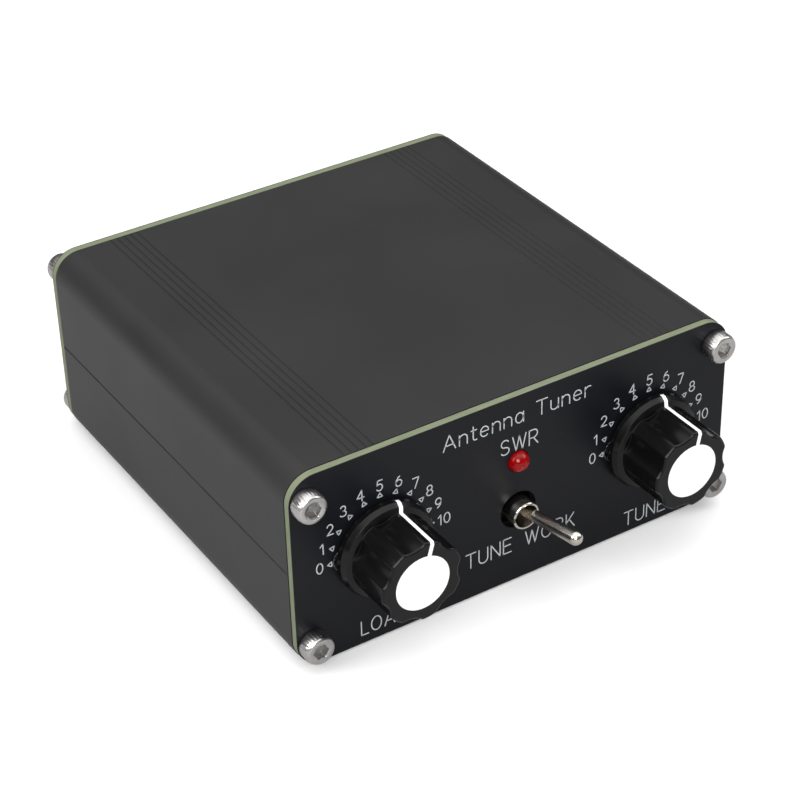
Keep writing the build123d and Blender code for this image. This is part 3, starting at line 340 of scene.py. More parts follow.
# Plated and bare metals: slot, material name, two tones, and the range of roughness.
METALS = (
    ("nickel", "nickel_plate", (0.64, 0.61, 0.56), (0.54, 0.51, 0.46), (0.15, 0.24)),
    ("brass", "turned_brass", (0.72, 0.52, 0.22), (0.62, 0.44, 0.18), (0.22, 0.36)),
    ("gold", "gold_plate", (0.95, 0.66, 0.25), (0.86, 0.56, 0.20), (0.14, 0.24)),
    ("grub_steel", "blackened_steel", (0.08, 0.08, 0.09), (0.05, 0.05, 0.06), (0.3, 0.45)),
    ("plate_aluminium", "stamped_aluminium", (0.75, 0.76, 0.77), (0.66, 0.67, 0.68), (0.3, 0.45)),
    ("tinned_wire", "tinned_copper", (0.68, 0.68, 0.67), (0.56, 0.56, 0.55), (0.2, 0.36)),
    ("enamel_wire", "enamelled_copper", (0.62, 0.20, 0.06), (0.48, 0.14, 0.04), (0.14, 0.26)),
)

MOULDINGS = (
    ("knob_white", "knob_white", (0.90, 0.90, 0.89), (0.86, 0.86, 0.85), (0.34, 0.46),
     {"grain": 5000.0, "grain_strength": 0.08, "edge": 0.00005}),
    ("ink", "white_ink", (0.46, 0.48, 0.49), (0.38, 0.40, 0.41), (0.45, 0.6),
     {"grain": 9000.0, "grain_strength": 0.2, "patch": 500.0, "edge": 0.00002}),
    ("ptfe", "white_insulator", (0.82, 0.80, 0.77), (0.74, 0.72, 0.69), (0.4, 0.55),
     {"grain": 6000.0, "edge": 0.00008}),
    ("board_laminate", "board_coat", (0.012, 0.075, 0.030), (0.018, 0.10, 0.042), (0.25, 0.38),
     {"grain": 1800.0, "edge": 0.00008}),
    ("capacitor_plastic", "clear_moulding", (0.72, 0.74, 0.70), (0.64, 0.66, 0.62), (0.22, 0.35),
     {"grain": 3000.0, "Transmission_Weight": 0.35}),
    ("housing_plastic", "blue_moulding", (0.015, 0.06, 0.22), (0.02, 0.08, 0.27), (0.35, 0.5),
     {"grain": 3500.0}),
    ("core_powder", "painted_core", (0.72, 0.55, 0.03), (0.62, 0.46, 0.02), (0.4, 0.55),
     {"grain": 2500.0, "grain_strength": 0.3}),
    ("core_ferrite", "ferrite", (0.03, 0.03, 0.032), (0.045, 0.045, 0.048), (0.5, 0.7),
     {"grain": 3000.0, "grain_strength": 0.35}),
    ("nylon", "natural_nylon", (0.74, 0.72, 0.64), (0.68, 0.66, 0.58), (0.4, 0.55),
     {"grain": 3000.0, "Subsurface_Weight": 0.1}),
    ("resistor_body", "resistor_coat", (0.10, 0.22, 0.33), (0.08, 0.18, 0.28), (0.35, 0.5),
     {"grain": 3200.0}),
    ("diode_glass", "diode_glass", (0.75, 0.24, 0.08), (0.66, 0.2, 0.06), (0.06, 0.12),
     {"grain": 2000.0, "Transmission_Weight": 0.8}),
    ("wire_sheath", "wire_sheath", (0.42, 0.02, 0.02), (0.36, 0.015, 0.015), (0.4, 0.55),
     {"grain": 3000.0}),
)


def knob_moulding():
    """Glossy black knob plastic, dulled a little on its edges."""
    black, second_black = rgb(0.0028, 0.0028, 0.0030), rgb(0.0042, 0.0042, 0.0045)
    return finish(
        "knob_black",
        black,
        second_black,
        (0.16, 0.24),
        grain=2600.0,
        grain_strength=0.05,
        edge=0.00012,
        worn=(rgb(0.014, 0.014, 0.014), 0.40),
        Specular_IOR_Level=0.24,
    )


def screw_plating():
    """Bright zinc of the panel screws."""
    bright, dull = rgb(0.56, 0.55, 0.54), rgb(0.46, 0.45, 0.44)
    return plated("screw_steel", bright, dull, (0.24, 0.34), ring_strength=0.05)


def build_materials():
    """One material for each slot of the record, and for the lettering."""
    made = {
        "case_anodise": anodised_case(),
        "panel_mask": coated_panel(),
        "screw_steel": screw_plating(),
        "knob_black": knob_moulding(),
        "lamp_red": lamp_epoxy(),
    }
    for slot, name, tone, second, rough in METALS:
        made[slot] = plated(name, rgb(*tone), rgb(*second), rough)
    for slot, name, tone, second, rough, more in MOULDINGS:
        made[slot] = finish(name, rgb(*tone), rgb(*second), rough, **more)
    return made


MATERIALS = build_materials()


def dress_cad_nodes():
    """Gives each CAD node the material of its slot in the record."""
    slots = {part["node"]: part["material_slot"] for part in frame["record"]["subparts"]}
    for name, node in frame["nodes"].items():
        node.data.materials.clear()
        node.data.materials.append(MATERIALS[slots[name]])


# ---------------------------------------------------------------- mesh building

def add_object(name, mesh, body, material):
    """Links a finished mesh as a piece that rides on a body."""
    piece = bpy.data.objects.new(name, mesh)
    bpy.context.collection.objects.link(piece)
    mesh.materials.append(MATERIALS[material])
    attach(piece, body)
    return piece


def close_up(name, work):
    """Turns a bmesh into a mesh with outward normals, smooth except across sharp edges."""
    bmesh.ops.recalc_face_normals(work, faces=work.faces)
    mesh = bpy.data.meshes.new(name)
    work.to_mesh(mesh)
    work.free()
    mesh.shade_smooth()
    mesh.set_sharp_from_angle(angle=math.radians(32))
    return mesh


def skin_loops(work, loops, close_ends=True):
    """Joins loops of equally many vertices into a closed skin. Its ends are capped, or else
    its last loop is joined back to its first."""
    pairs = list(zip(loops, loops[1:]))
    if not close_ends:
        pairs.append((loops[-1], loops[0]))
    count = len(loops[0])
    for first, second in pairs:
        for step in range(count):
            after = (step + 1) % count
            work.faces.new((first[step], first[after], second[after], second[step]))
    if close_ends:
        work.faces.new(loops[0][::-1])
        work.faces.new(loops[-1])


def ring_stack(work, place, rings, segments, close_ends=True):
    """Adds a closed skin through rings. A ring is (radius, height) in millimetres, and each
    may be a function of the angle."""
    loops = []
    for radius, height in rings:
        loop = []
        for step in range(segments):
            angle = 2 * math.pi * step / segments
            r = radius(angle) if callable(radius) else radius
            h = height(angle) if callable(height) else height
            point = Vector((r * math.cos(angle), r * math.sin(angle), h)) * MM
            loop.append(work.verts.new(place @ point))
        loops.append(loop)
    skin_loops(work, loops, close_ends)


def rounded_lip(centre_radius, centre_height, radius, steps, turn):
    """Rings that round off the top edge of a turned form, in steps of so many degrees."""
    rings = []
    for step in range(1, steps + 1):
        angle = math.radians(turn * step)
        ring_radius = centre_radius + radius * math.cos(angle)
        rings.append((ring_radius, centre_height + radius * math.sin(angle)))
    return rings


def hexagon(flats, turn=0.0):
    """Radius of a hexagon with this distance across flats, as a function of the angle."""

    def radius(angle):
        within = (angle - turn) % (math.pi / 3) - math.pi / 6
        return flats / 2 / math.cos(within)

    return radius


# ---------------------------------------------------------------- panel screws

# M3 socket cap screw, in millimetres. Heights are from the panel's face.
HEAD_RADIUS = 2.75
HEAD_HEIGHT = 3.0
HEAD_EDGE = 0.1
HEAD_ROUND = 0.55
KNURL_DEPTH = 0.06
KNURLS = 30
SHANK_RADIUS = 1.46
SHANK_LENGTH = 8.0
SHANK_CHAMFER = 0.3
SOCKET_FLATS = 2.5
SOCKET_DEPTH = 1.6
SOCKET_MOUTH = 1.62
# Places of the screws, from the panel's centre.
SCREW_ACROSS = 41.04
SCREW_RISE = 14.31


def knurled(angle):
    """Radius of the head's knurled side at this angle."""
    return HEAD_RADIUS - KNURL_DEPTH * (0.5 + 0.5 * math.cos(KNURLS * angle))


def screw_rings():
    """Outline of a screw from its tip up over its head and down into its socket."""
    rim = HEAD_RADIUS - HEAD_EDGE
    socket = hexagon(SOCKET_FLATS)
    return [
        (SHANK_RADIUS - SHANK_CHAMFER, -SHANK_LENGTH),
        (SHANK_RADIUS, -SHANK_LENGTH + 0.4),
        (SHANK_RADIUS, 0),
        (rim - HEAD_EDGE, 0),
        (rim, HEAD_EDGE),
        (knurled, 0.25),
        (knurled, HEAD_HEIGHT - 0.75),
        (rim, HEAD_HEIGHT - 0.6),
        *rounded_lip(rim - HEAD_ROUND, HEAD_HEIGHT - HEAD_ROUND, HEAD_ROUND, 6, 15),
        (SOCKET_MOUTH, HEAD_HEIGHT),
        (SOCKET_MOUTH - HEAD_EDGE, HEAD_HEIGHT - 0.04),
        (socket, HEAD_HEIGHT - 0.14),
        (socket, HEAD_HEIGHT - SOCKET_DEPTH),
    ]


def panel_screws():
    middle = node_centre("front_panel")[2]
    for side, panel in ((-1, "front"), (1, "rear")):
        work = bmesh.new()
        for across in (-SCREW_ACROSS, SCREW_ACROSS):
            for up in (middle - SCREW_RISE, middle + SCREW_RISE):
                ring_stack(work, panel_spot(side, across, up), screw_rings(), segments=180)
        name = f"{panel}_socket_screws"
        piece = add_object(name, close_up(name, work), "case", "screw_steel")
        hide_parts(f"{panel}_panel_screws")


# ---------------------------------------------------------------- coaxial jacks

# Bayonet jack, in millimetres. Heights are from the panel's outer face.
THREAD_RADIUS = 5.5
THREAD_DEPTH = 0.35
THREAD_PITCH = 0.9
THREAD_LOW = -0.9
THREAD_TOP = 6.3
THREAD_STEPS_PER_TURN = 10
THREAD_RUN_OUT = 0.6
NECK_RADIUS = 4.95
COLLAR_LOW = 9.5
COLLAR_LENGTH = 1.7
COLLAR_RADIUS = 4.90
COLLAR_SWELL = 0.28
LUG_BAND_LENGTH = 1.2
LUG_BAND_RADIUS = 4.86
LUG_BAND_DIP = 0.22
CURVE_STEPS = 12
BARREL_RADIUS = 4.8
MOUTH_HEIGHT = 16.45
BORE_RADIUS = 4.1
TAIL_END = -8.0
TAIL_BORE = 2.40
# The tail and the flange behind the panel: (radius, height).
TAIL_PROFILE = (
    (TAIL_BORE, TAIL_END), (4.4, TAIL_END), (4.4, -4.4), (7.2, -4.4), (7.4, -4.2),
    (7.4, -1.6), (THREAD_RADIUS, -1.6),
)
# The mouth's rounded lip, and the bore back to the tail: (radius, depth from the mouth).
MOUTH_PROFILE = (
    (BARREL_RADIUS, 0.30), (BARREL_RADIUS - 0.05, 0.12), (BARREL_RADIUS - 0.18, 0.0),
    (4.32, 0.0), (4.2, 0.07), (4.12, 0.25), (BORE_RADIUS, 0.55), (BORE_RADIUS, 9.65),
    (4.0, 9.85), (TAIL_BORE, 9.85),
)


def thread_ring(height):
    """A ring of the helical thread at this height."""

    def crest(angle):
        phase = (height / THREAD_PITCH - angle / (2 * math.pi)) % 1.0
        fade = min(1.0, max(0.0, (THREAD_TOP - height) / THREAD_RUN_OUT))
        tooth = min(1.0, max(0.0, 2.2 * (1 - abs(2 * phase - 1)) - 0.3))
        return THREAD_RADIUS + THREAD_DEPTH * tooth * fade

    return crest, height


def jack_rings():
    """Outline of the jack, from its tail inside the case to its mouth and back."""
    rings = list(TAIL_PROFILE)
    turns = int((THREAD_TOP + 1.0) / THREAD_PITCH)
    for step in range(turns * THREAD_STEPS_PER_TURN + 1):
        rings.append(thread_ring(THREAD_LOW + step * THREAD_PITCH / THREAD_STEPS_PER_TURN))
    for radius, rise in ((5.45, 0.0), (5.35, 0.12), (5.02, 0.45), (NECK_RADIUS, 0.7)):
        rings.append((radius, THREAD_TOP + rise))
    rings.append((NECK_RADIUS, COLLAR_LOW - 0.2))
    for step in range(CURVE_STEPS + 1):
        share = step / CURVE_STEPS
        swell = COLLAR_SWELL * math.sin(math.pi * share) ** 1.5
        rings.append((COLLAR_RADIUS + swell, COLLAR_LOW + COLLAR_LENGTH * share))
    collar_top = COLLAR_LOW + COLLAR_LENGTH
    for step in range(1, CURVE_STEPS + 1):
        share = step / CURVE_STEPS
        dip = LUG_BAND_DIP * math.sin(math.pi * share)
        rings.append((LUG_BAND_RADIUS - dip, collar_top + LUG_BAND_LENGTH * share))
    rings.append((BARREL_RADIUS, collar_top + LUG_BAND_LENGTH + 0.1))
    for radius, depth in MOUTH_PROFILE:
        rings.append((radius, MOUTH_HEIGHT - depth))
    return rings


def jack_places():
    """The name of each jack, and the matrix of its axis on the rear panel."""
    for name in ("radio", "antenna"):
        x, _, z = node_centre(f"{name}_jack_shell")
        yield name, panel_spot(1, -x, z)


def jack_shells():
    for name, place in jack_places():
        work = bmesh.new()
        ring_stack(work, place, jack_rings(), segments=96, close_ends=False)
        for lug_side in (-1, 1):
            add_lug(work, place, lug_side)
        piece_name = f"{name}_jack_body"
        piece = add_object(piece_name, close_up(piece_name, work), "case", "nickel")
        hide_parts(f"{name}_jack_shell")


def add_lug(work, place, side):
    """A bayonet lug: a short round post with a domed end, standing out of the barrel."""
    lug_height, radius, reach, root, edge = 12.4, 1.0, 5.5, 4.3, 0.35
    turn = Matrix.Rotation(-side * math.pi / 2, 4, "X")
    post = place @ Matrix.Translation((0, 0, lug_height * MM)) @ turn
    rings = [(radius, root), (radius, reach - edge)]
    rings += rounded_lip(radius - edge, reach - edge, edge, 6, 14)
    ring_stack(work, post, rings, segments=40)


def jack_nuts():
    """Hexagon nuts with turned-off corners, one on each jack's thread."""
    flats, low, top = 14.0, 0.8, 3.1
    bore, seat, lip = 5.9, 6.9, 6.3
    # The corners are cut by a cone at the top and one at the bottom: radius and slope.
    top_cone, top_slope = 6.95, 1.9
    low_cone, low_slope = 7.3, 3.0
    levels = 15
    sides = hexagon(flats, math.radians(12))
    work = bmesh.new()
    for _, place in jack_places():
        rings = [(bore, low), (seat, low)]
        for step in range(levels):
            level = low + (top - low) * step / (levels - 1)
            upper = top_cone + (top - level) * top_slope
            lower = low_cone + (level - low) * low_slope

            def skin(angle, upper=upper, lower=lower):
                return min(sides(angle), upper, lower)

            rings.append((skin, level))
        rings += [(lip, top), (bore + 0.05, top - 0.3)]
        ring_stack(work, place, rings, segments=120, close_ends=False)
    piece = add_object("jack_hex_nuts", close_up("jack_hex_nuts", work), "case", "nickel")
    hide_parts("jack_nuts")


def lock_washers():
    """Internal-tooth lock washers: a flat ring whose inner teeth are twisted out of plane."""
    outer, ring_inner, tooth_inner, teeth = 8.0, 7.0, 5.95, 16
    low, top, edge, bevel, tooth_height = 0.06, 0.6, 0.1, 0.06, 0.36
    twist = math.radians(24)
    rings = [
        (ring_inner, low + bevel),
        (ring_inner + bevel, low),
        (outer - edge, low),
        (outer, low + edge),
        (outer, top - edge),
        (outer - edge, top),
        (ring_inner + bevel, top),
        (ring_inner, top - edge),
    ]
    work = bmesh.new()
    for _, place in jack_places():
        ring_stack(work, place, rings, segments=128, close_ends=False)
        for tooth in range(teeth):
            turn = Matrix.Rotation(2 * math.pi * tooth / teeth, 4, "Z")
            lift = Matrix.Translation((0, 0, tooth_height * MM))
            add_tooth(work, place @ turn @ lift, ring_inner + 0.1, tooth_inner, twist)
    name = "jack_tooth_washers"
    piece = add_object(name, close_up(name, work), "case", "nickel")
    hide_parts("jack_lock_washers")


def add_tooth(work, place, root, tip, twist):
    """One washer tooth, narrowing and twisting from its root to its tip."""
    half_thickness = 0.14
    loops = []
    for share, half_width in ((0.0, 0.85), (0.35, 0.75), (1.0, 0.55)):
        radius = root + (tip - root) * share
        turn = twist * share
        loop = []
        for across, side in ((-1, -1), (1, -1), (1, 1), (-1, 1)):
            up = side * half_thickness
            y = across * half_width * math.cos(turn) - up * math.sin(turn)
            z = across * half_width * math.sin(turn) * 0.6 + up * math.cos(turn)
            loop.append(work.verts.new(place @ Vector((radius * MM, y * MM, z * MM))))
        loops.append(loop)
    skin_loops(work, loops)


# ---------------------------------------------------------------- lettering

def arc(cx, cy, rx, ry, start, end):
    """Points along part of an ellipse, with angles in degrees."""
    steps = max(4, int(abs(end - start) / 15))
    points = []
    for step in range(steps + 1):
        angle = math.radians(start + (end - start) * step / steps)
        points.append((cx + rx * math.cos(angle), cy + ry * math.sin(angle)))
    return points


def chain(*points):
    """Straight strokes from each point to the next."""
    return [[first, second] for first, second in zip(points, points[1:])]


def bowl(centre_x, centre_y, across, up, foot):
    """One stroke round the right of a letter, from the top of its stem back to its foot."""
    return [(0.0, 1.0)] + arc(centre_x, centre_y, across, up, 90, -90) + [(0.0, foot)]


STEM = chain((0.0, 0.0), (0.0, 1.0))
SHORT_STEM = chain((0.0, 0.0), (0.0, 0.68))

# Each glyph is (width, strokes) with a capital's height as 1.
GLYPHS = {
    "0": (0.60, [arc(0.30, 0.5, 0.29, 0.5, 90, 450)]),
    "1": (0.36, chain((0.04, 0.76), (0.30, 1.0), (0.30, 0.0))),
    "2": (
        0.60,
        [arc(0.30, 0.70, 0.27, 0.30, 160, -38) + [(0.02, 0.0)]] + chain((0.02, 0.0), (0.59, 0.0)),
    ),
    "3": (0.58, [arc(0.27, 0.75, 0.24, 0.25, 150, -90), arc(0.27, 0.25, 0.29, 0.25, 90, -150)]),
    "4": (0.64, chain((0.46, 0.0), (0.46, 1.0), (0.0, 0.30), (0.64, 0.30))),
    "5": (
        0.58,
        chain((0.54, 1.0), (0.12, 1.0), (0.07, 0.54)) + [arc(0.28, 0.32, 0.28, 0.32, 137, -150)],
    ),
    "6": (0.60, [arc(0.31, 0.31, 0.28, 0.31, 0, 360), arc(0.62, 0.31, 0.59, 0.69, 112, 180)]),
    "7": (0.60, chain((0.0, 1.0), (0.58, 1.0), (0.20, 0.0))),
    "8": (0.60, [arc(0.30, 0.75, 0.24, 0.25, -90, 270), arc(0.30, 0.25, 0.29, 0.25, 90, 450)]),
    "9": (0.60, [arc(0.29, 0.69, 0.28, 0.31, 0, 360), arc(-0.02, 0.69, 0.59, 0.69, -68, 0)]),
    "A": (0.74, chain((0.0, 0.0), (0.37, 1.0), (0.74, 0.0)) + chain((0.12, 0.32), (0.62, 0.32))),
    "C": (0.70, [arc(0.38, 0.5, 0.37, 0.5, 48, 312)]),
    "D": (0.68, STEM + [bowl(0.30, 0.5, 0.37, 0.5, 0.0)]),
    "E": (
        0.56,
        chain((0.55, 1.0), (0.0, 1.0), (0.0, 0.0), (0.56, 0.0)) + chain((0.0, 0.53), (0.49, 0.53)),
    ),
    "G": (
        0.76,
        [arc(0.39, 0.5, 0.38, 0.5, 48, 325)] + chain((0.71, 0.21), (0.71, 0.47), (0.42, 0.47)),
    ),
    "H": (0.62, STEM + chain((0.62, 0.0), (0.62, 1.0)) + chain((0.0, 0.53), (0.62, 0.53))),
    "I": (0.02, chain((0.01, 0.0), (0.01, 1.0))),
    "K": (0.62, STEM + chain((0.56, 1.0), (0.0, 0.36)) + chain((0.22, 0.60), (0.62, 0.0))),
    "L": (0.50, chain((0.0, 1.0), (0.0, 0.0), (0.50, 0.0))),
    "M": (0.78, chain((0.0, 0.0), (0.0, 1.0), (0.39, 0.10), (0.78, 1.0), (0.78, 0.0))),
    "N": (0.64, chain((0.0, 0.0), (0.0, 1.0), (0.64, 0.0), (0.64, 1.0))),
    "O": (0.76, [arc(0.38, 0.5, 0.37, 0.5, 90, 450)]),
    "P": (0.58, STEM + [bowl(0.32, 0.73, 0.26, 0.27, 0.46)]),
    "R": (0.62, STEM + [bowl(0.33, 0.73, 0.26, 0.27, 0.46)] + chain((0.30, 0.46), (0.62, 0.0))),
    "S": (
        0.62,
        [arc(0.31, 0.75, 0.27, 0.25, 30, 270)[:-1] + arc(0.31, 0.25, 0.29, 0.25, 90, -150)],
    ),
    "T": (0.68, chain((0.0, 1.0), (0.68, 1.0)) + chain((0.34, 1.0), (0.34, 0.0))),
    "U": (0.62, [[(0.0, 1.0)] + arc(0.31, 0.31, 0.31, 0.31, 180, 360) + [(0.62, 1.0)]]),
    "W": (0.96, chain((0.0, 1.0), (0.25, 0.0), (0.48, 0.96), (0.71, 0.0), (0.96, 1.0))),
    "a": (0.50, [arc(0.25, 0.34, 0.24, 0.34, 0, 360)] + chain((0.50, 0.68), (0.50, 0.0))),
    "e": (0.52, [[(0.02, 0.36), (0.51, 0.36)] + arc(0.27, 0.34, 0.25, 0.34, 12, 312)]),
    "n": (0.48, SHORT_STEM + [arc(0.24, 0.42, 0.24, 0.26, 180, 0) + [(0.48, 0.0)]]),
    "r": (0.30, SHORT_STEM + [arc(0.24, 0.40, 0.24, 0.28, 180, 62)]),
    "t": (
        0.32,
        [[(0.13, 0.92)] + arc(0.27, 0.15, 0.14, 0.15, 180, 300)] + chain((0.0, 0.68), (0.32, 0.68)),
    ),
    "u": (
        0.48,
        [[(0.0, 0.68)] + arc(0.24, 0.24, 0.24, 0.24, 180, 360)] + chain((0.48, 0.68), (0.48, 0.0)),
    ),
    " ": (0.34, []),
}
LETTER_GAP = 0.24
# Printed lines, in millimetres, and how far round each of their ends is stepped, in degrees.
STROKE = 0.23
INK_HEIGHT = 0.03
END_STEPS = 4
END_TURN = 80
# A stroke's section: shares of its half width and of its height. It starts inside the panel.
STROKE_SECTION = ((-1.0, -0.2), (-1.0, 0.35), (-0.72, 1.0), (0.72, 1.0), (1.0, 0.35), (1.0, -0.2))


def add_stroke(work, place, points, width=STROKE):
    """A printed stroke along the points (in millimetres): a low rounded ridge with round ends."""
    half = width / 2
    path = [Vector(p) for p in points]
    stations = []
    first_way = (path[1] - path[0]).normalized()
    last_way = (path[-1] - path[-2]).normalized()
    for step in range(END_STEPS):
        angle = math.radians(END_TURN - END_TURN / END_STEPS * step)
        stations.append((path[0] - first_way * half * math.sin(angle), first_way, math.cos(angle)))
    for index, point in enumerate(path):
        before = (point - path[index - 1]).normalized() if index else first_way
        after = (path[index + 1] - point).normalized() if index + 1 < len(path) else last_way
        stations.append((point, (before + after).normalized(), 1.0))
    for step in range(END_STEPS):
        angle = math.radians(END_TURN / END_STEPS * (step + 1))
        stations.append((path[-1] + last_way * half * math.sin(angle), last_way, math.cos(angle)))
    loops = []
    for point, way, share in stations:
        normal = Vector((-way.y, way.x))
        loop = []
        for across, up in STROKE_SECTION:
            spot = point + normal * across * half * share
            corner = Vector((spot.x * MM, spot.y * MM, up * INK_HEIGHT * MM))
            loop.append(work.verts.new(place @ corner))
        loops.append(loop)
    skin_loops(work, loops)


def text_width(text):
    return sum(GLYPHS[letter][0] for letter in text) + LETTER_GAP * (len(text) - 1)


def add_text(work, place, text, left, right, baseline, height):
    """Text between two places across the panel. The letters keep their height."""
    stretch = (right - left) / (text_width(text) * height)
    across = left
    for letter in text:
        width, strokes = GLYPHS[letter]
        for stroke in strokes:
            points = [(across + x * height * stretch, baseline + y * height) for x, y in stroke]
            add_stroke(work, place, points)
        across += (width + LETTER_GAP) * height * stretch


def add_dial(work, place):
    """Ten-step dial over half a turn: upright figures, and small outlined triangles inside."""
    figure_radius, figure_height, wide_figure_shift = 11.75, 2.0, 0.45
    mark_radius, mark_size, mark_line = 9.75, 0.55, 0.20
    steps = 10
    for figure in range(steps + 1):
        angle = math.radians(180 - 180 / steps * figure)
        way = Vector((math.cos(angle), math.sin(angle)))
        text = str(figure)
        width = text_width(text) * figure_height
        shift = wide_figure_shift if len(text) > 1 else 0.0
        centre = way * (figure_radius + shift)
        left = centre.x - width / 2
        baseline = centre.y - figure_height / 2
        add_text(work, place, text, left, left + width, baseline, figure_height)
        corners = []
        for corner in range(3):
            turn = math.radians(120 * corner)
            swing = Vector((math.cos(angle + turn), math.sin(angle + turn)))
            corners.append(way * mark_radius + swing * mark_size)
        for corner in range(3):
            add_stroke(work, place, [corners[corner], corners[(corner + 1) % 3]], mark_line)


# Words of each panel: (name, text, left, right, baseline, height), in millimetres.
FRONT_WORDS = (
    ("title", "Antenna Tuner", -14.9, 14.5, 32.5, 2.9),
    ("lamp", "SWR", -3.6, 3.9, 27.1, 2.9),
    ("lever_left", "TUNE", -10.7, -1.4, 6.4, 3.0),
    ("lever_right", "WORK", 1.6, 11.9, 6.35, 2.9),
    ("load", "LOAD", -31.65, -22.7, 1.8, 2.85),
    ("tune", "TUNE", 22.86, 31.9, 1.5, 2.85),
)
REAR_WORDS = (
    ("radio", "RADIO", -32.8, -21.8, 24.2, 3.0),
    ("impedance", "IMPEDANCE", -10.1, 11.0, 21.0, 3.0),
    ("low", "LOW", -10.0, -2.3, 5.9, 2.85),
    ("high", "HIGH", 3.4, 11.2, 6.0, 2.85),
    ("antenna", "ANTENNA", 18.66, 36.0, 24.2, 2.9),
)


def lettering():
    for side, panel, words in ((-1, "front", FRONT_WORDS), (1, "rear", REAR_WORDS)):
        for label, text, left, right, baseline, height in words:
            work = bmesh.new()
            add_text(work, panel_spot(side, 0, 0), text, left, right, baseline, height)
            name = f"{panel}_label_{label}"
            add_object(name, close_up(name, work), "case", "ink")
    for control in ("load", "tune"):
        x, _, z = node_centre(f"{control}_shaft_sleeve")
        work = bmesh.new()
        add_dial(work, panel_spot(-1, x, z))
        name = f"{control}_dial"
        add_object(name, close_up(name, work), "case", "ink")


# ---------------------------------------------------------------- signal lamp

def lamp_inside():
    """The lamp's lead frame, seen through the epoxy: a reflector cup on a post, and its mate."""
    x, _, z = node_centre("signal_lamp")
    place = panel_spot(-1, x, z)
    post_radius, foot = 0.25, -3.0
    cup_rings = [(post_radius, foot), (post_radius, -1.6), (0.62, -1.2), (0.68, -0.9)]
    cup_rings += [(0.6, -0.9), (0.3, -1.25)]
    mate_rings = [(post_radius, foot), (post_radius, -1.1), (0.38, -1.0), (0.38, -0.8)]
    work = bmesh.new()
    ring_stack(work, place @ Matrix.Translation((-0.35 * MM, 0, 0)), cup_rings, segments=24)
    ring_stack(work, place @ Matrix.Translation((0.85 * MM, 0, 0)), mate_rings, segments=16)
    name = "lamp_lead_frame"
    add_object(name, close_up(name, work), "case", "tinned_wire")


# ---------------------------------------------------------------- floor, light and camera

FLOOR_SIZE = 6.0
FLOOR_DROP = 0.0003


def grey(shade):
    return rgb(shade, shade, shade)


def floor_material():
    """Pale floor. It bounces less light than the camera sees, so that black stays black."""
    g = Graph("pale_floor")
    cloud = g.noise(3.0, 3.0)
    pale = g.blend(g.between(cloud, 0.0, 1.0), grey(0.84), grey(0.87))
    seen = g.node("ShaderNodeLightPath", "Is Camera Ray")
    g.set(
        Base_Color=g.blend(seen, grey(0.42), pale),
        Roughness=0.7,
        Normal=g.bump(g.noise(600.0), 0.03, 0.0001),
    )
    return g.material


def add_floor():
    bpy.ops.mesh.primitive_plane_add(size=FLOOR_SIZE, location=(0, 0, -FLOOR_DROP))
    floor = bpy.context.object
    floor.name = "floor"
    floor.data.materials.append(floor_material())


# Soft lights: (name, place in metres, width in metres, power in watts). All face the case.
LIGHTS = (
    ("front", (-0.42, -0.72, 0.50), 0.45, 7.0),
    ("left", (-0.80, 0.05, 0.50), 0.5, 4.0),
    ("right", (0.75, -0.35, 0.60), 0.5, 3.0),
)
LIGHT_TARGET = (0, 0, 0.02)

# The studio seen in reflections: (share of the way up, shade).
STUDIO_SHADES = ((0.45, 0.16), (0.68, 0.55), (0.82, 1.6))
STUDIO_LOW = (0.10, 0.10, 0.105)
STUDIO_TOP = 2.2
BACKDROP = 0.95


def add_lights():
    for name, place, width, power in LIGHTS:
        data = bpy.data.lights.new(name, "AREA")
        data.size = width
        data.energy = power
        light = bpy.data.objects.new(name, data)
        light.location = place
        toward = Vector(LIGHT_TARGET) - Vector(place)
        light.rotation_euler = toward.to_track_quat("-Z", "Y").to_euler()
        bpy.context.collection.objects.link(light)


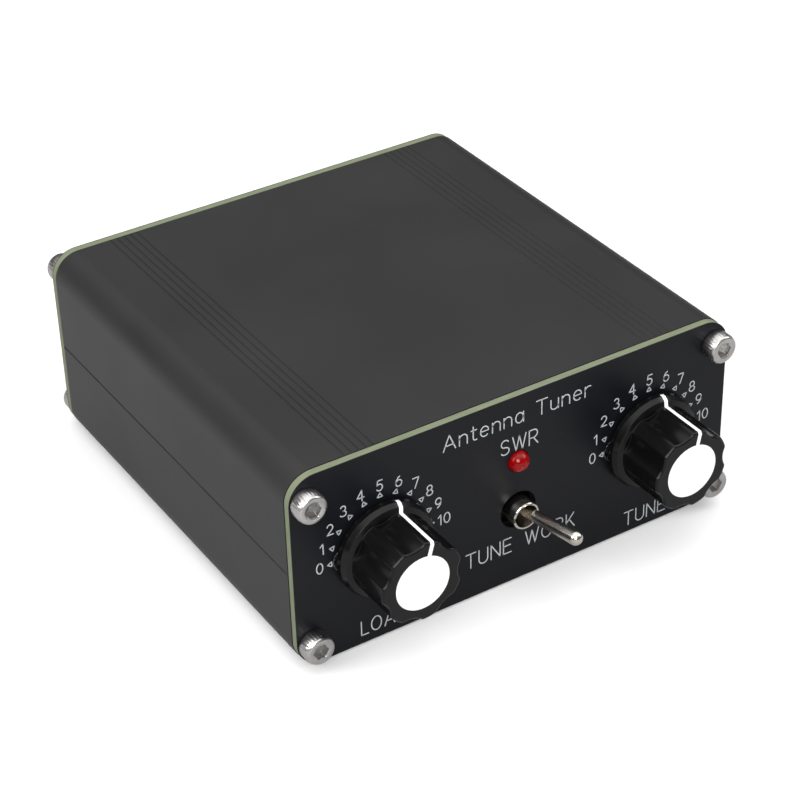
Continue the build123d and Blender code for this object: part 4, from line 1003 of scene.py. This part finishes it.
def add_world():
    """White surroundings for the camera, and a softly shaded studio for reflections."""
    world = bpy.data.worlds.new("studio")
    bpy.context.scene.world = world
    world.use_nodes = True
    tree = world.node_tree
    tree.nodes.clear()
    output = tree.nodes.new("ShaderNodeOutputWorld")
    background = tree.nodes.new("ShaderNodeBackground")
    tree.links.new(background.outputs[0], output.inputs[0])
    coordinates = tree.nodes.new("ShaderNodeTexCoord")
    split = tree.nodes.new("ShaderNodeSeparateXYZ")
    tree.links.new(coordinates.outputs["Generated"], split.inputs[0])
    ramp = tree.nodes.new("ShaderNodeValToRGB")
    tree.links.new(split.outputs["Z"], ramp.inputs[0])
    stops = ramp.color_ramp.elements
    stops[0].position = 0.0
    stops[0].color = rgb(*STUDIO_LOW)
    stops[1].position = 1.0
    stops[1].color = grey(STUDIO_TOP)
    for position, shade in STUDIO_SHADES:
        stops.new(position).color = grey(shade)
    light_path = tree.nodes.new("ShaderNodeLightPath")
    chooser = tree.nodes.new("ShaderNodeMix")
    chooser.data_type = "RGBA"
    tree.links.new(light_path.outputs["Is Camera Ray"], chooser.inputs[0])
    tree.links.new(ramp.outputs[0], chooser.inputs[6])
    chooser.inputs[7].default_value = grey(BACKDROP)
    tree.links.new(chooser.outputs[2], background.inputs[0])
    background.inputs[1].default_value = 1.0


def set_tones():
    """Plain tones, with no film curve, so that the black stays black and the white white."""
    view = bpy.context.scene.view_settings
    view.view_transform = "Standard"
    view.look = "None"


# Camera: its place in metres from the centre of the case's bottom face, its turns in degrees,
# and its lens and sensor in millimetres.
CAMERA_PLACE = (-0.1797, -0.2983, 0.2465)
CAMERA_YAW = 31.57
CAMERA_PITCH = 33.83
CAMERA_ROLL = -1.61
CAMERA_LENS = 84.4
CAMERA_ZOOM = 1.22
CAMERA_SENSOR = 36.0


def add_camera():
    data = bpy.data.cameras.new("camera")
    data.sensor_width = CAMERA_SENSOR
    data.lens = CAMERA_LENS * CAMERA_ZOOM
    camera = bpy.data.objects.new("camera", data)
    yaw, pitch, roll = (math.radians(a) for a in (CAMERA_YAW, CAMERA_PITCH, CAMERA_ROLL))
    ahead = Vector(
        (math.sin(yaw) * math.cos(pitch), math.cos(yaw) * math.cos(pitch), -math.sin(pitch))
    )
    level = Vector((math.cos(yaw), -math.sin(yaw), 0))
    above = level.cross(ahead)
    right = math.cos(roll) * level + math.sin(roll) * above
    up = right.cross(ahead)
    camera.matrix_world = (
        Matrix.Translation(CAMERA_PLACE) @ Matrix((right, up, -ahead)).transposed().to_4x4()
    )
    bpy.context.collection.objects.link(camera)
    bpy.context.scene.camera = camera


dress_cad_nodes()
panel_screws()
jack_shells()
jack_nuts()
lock_washers()
lettering()
lamp_inside()
add_floor()
add_world()
add_lights()
set_tones()
add_camera()
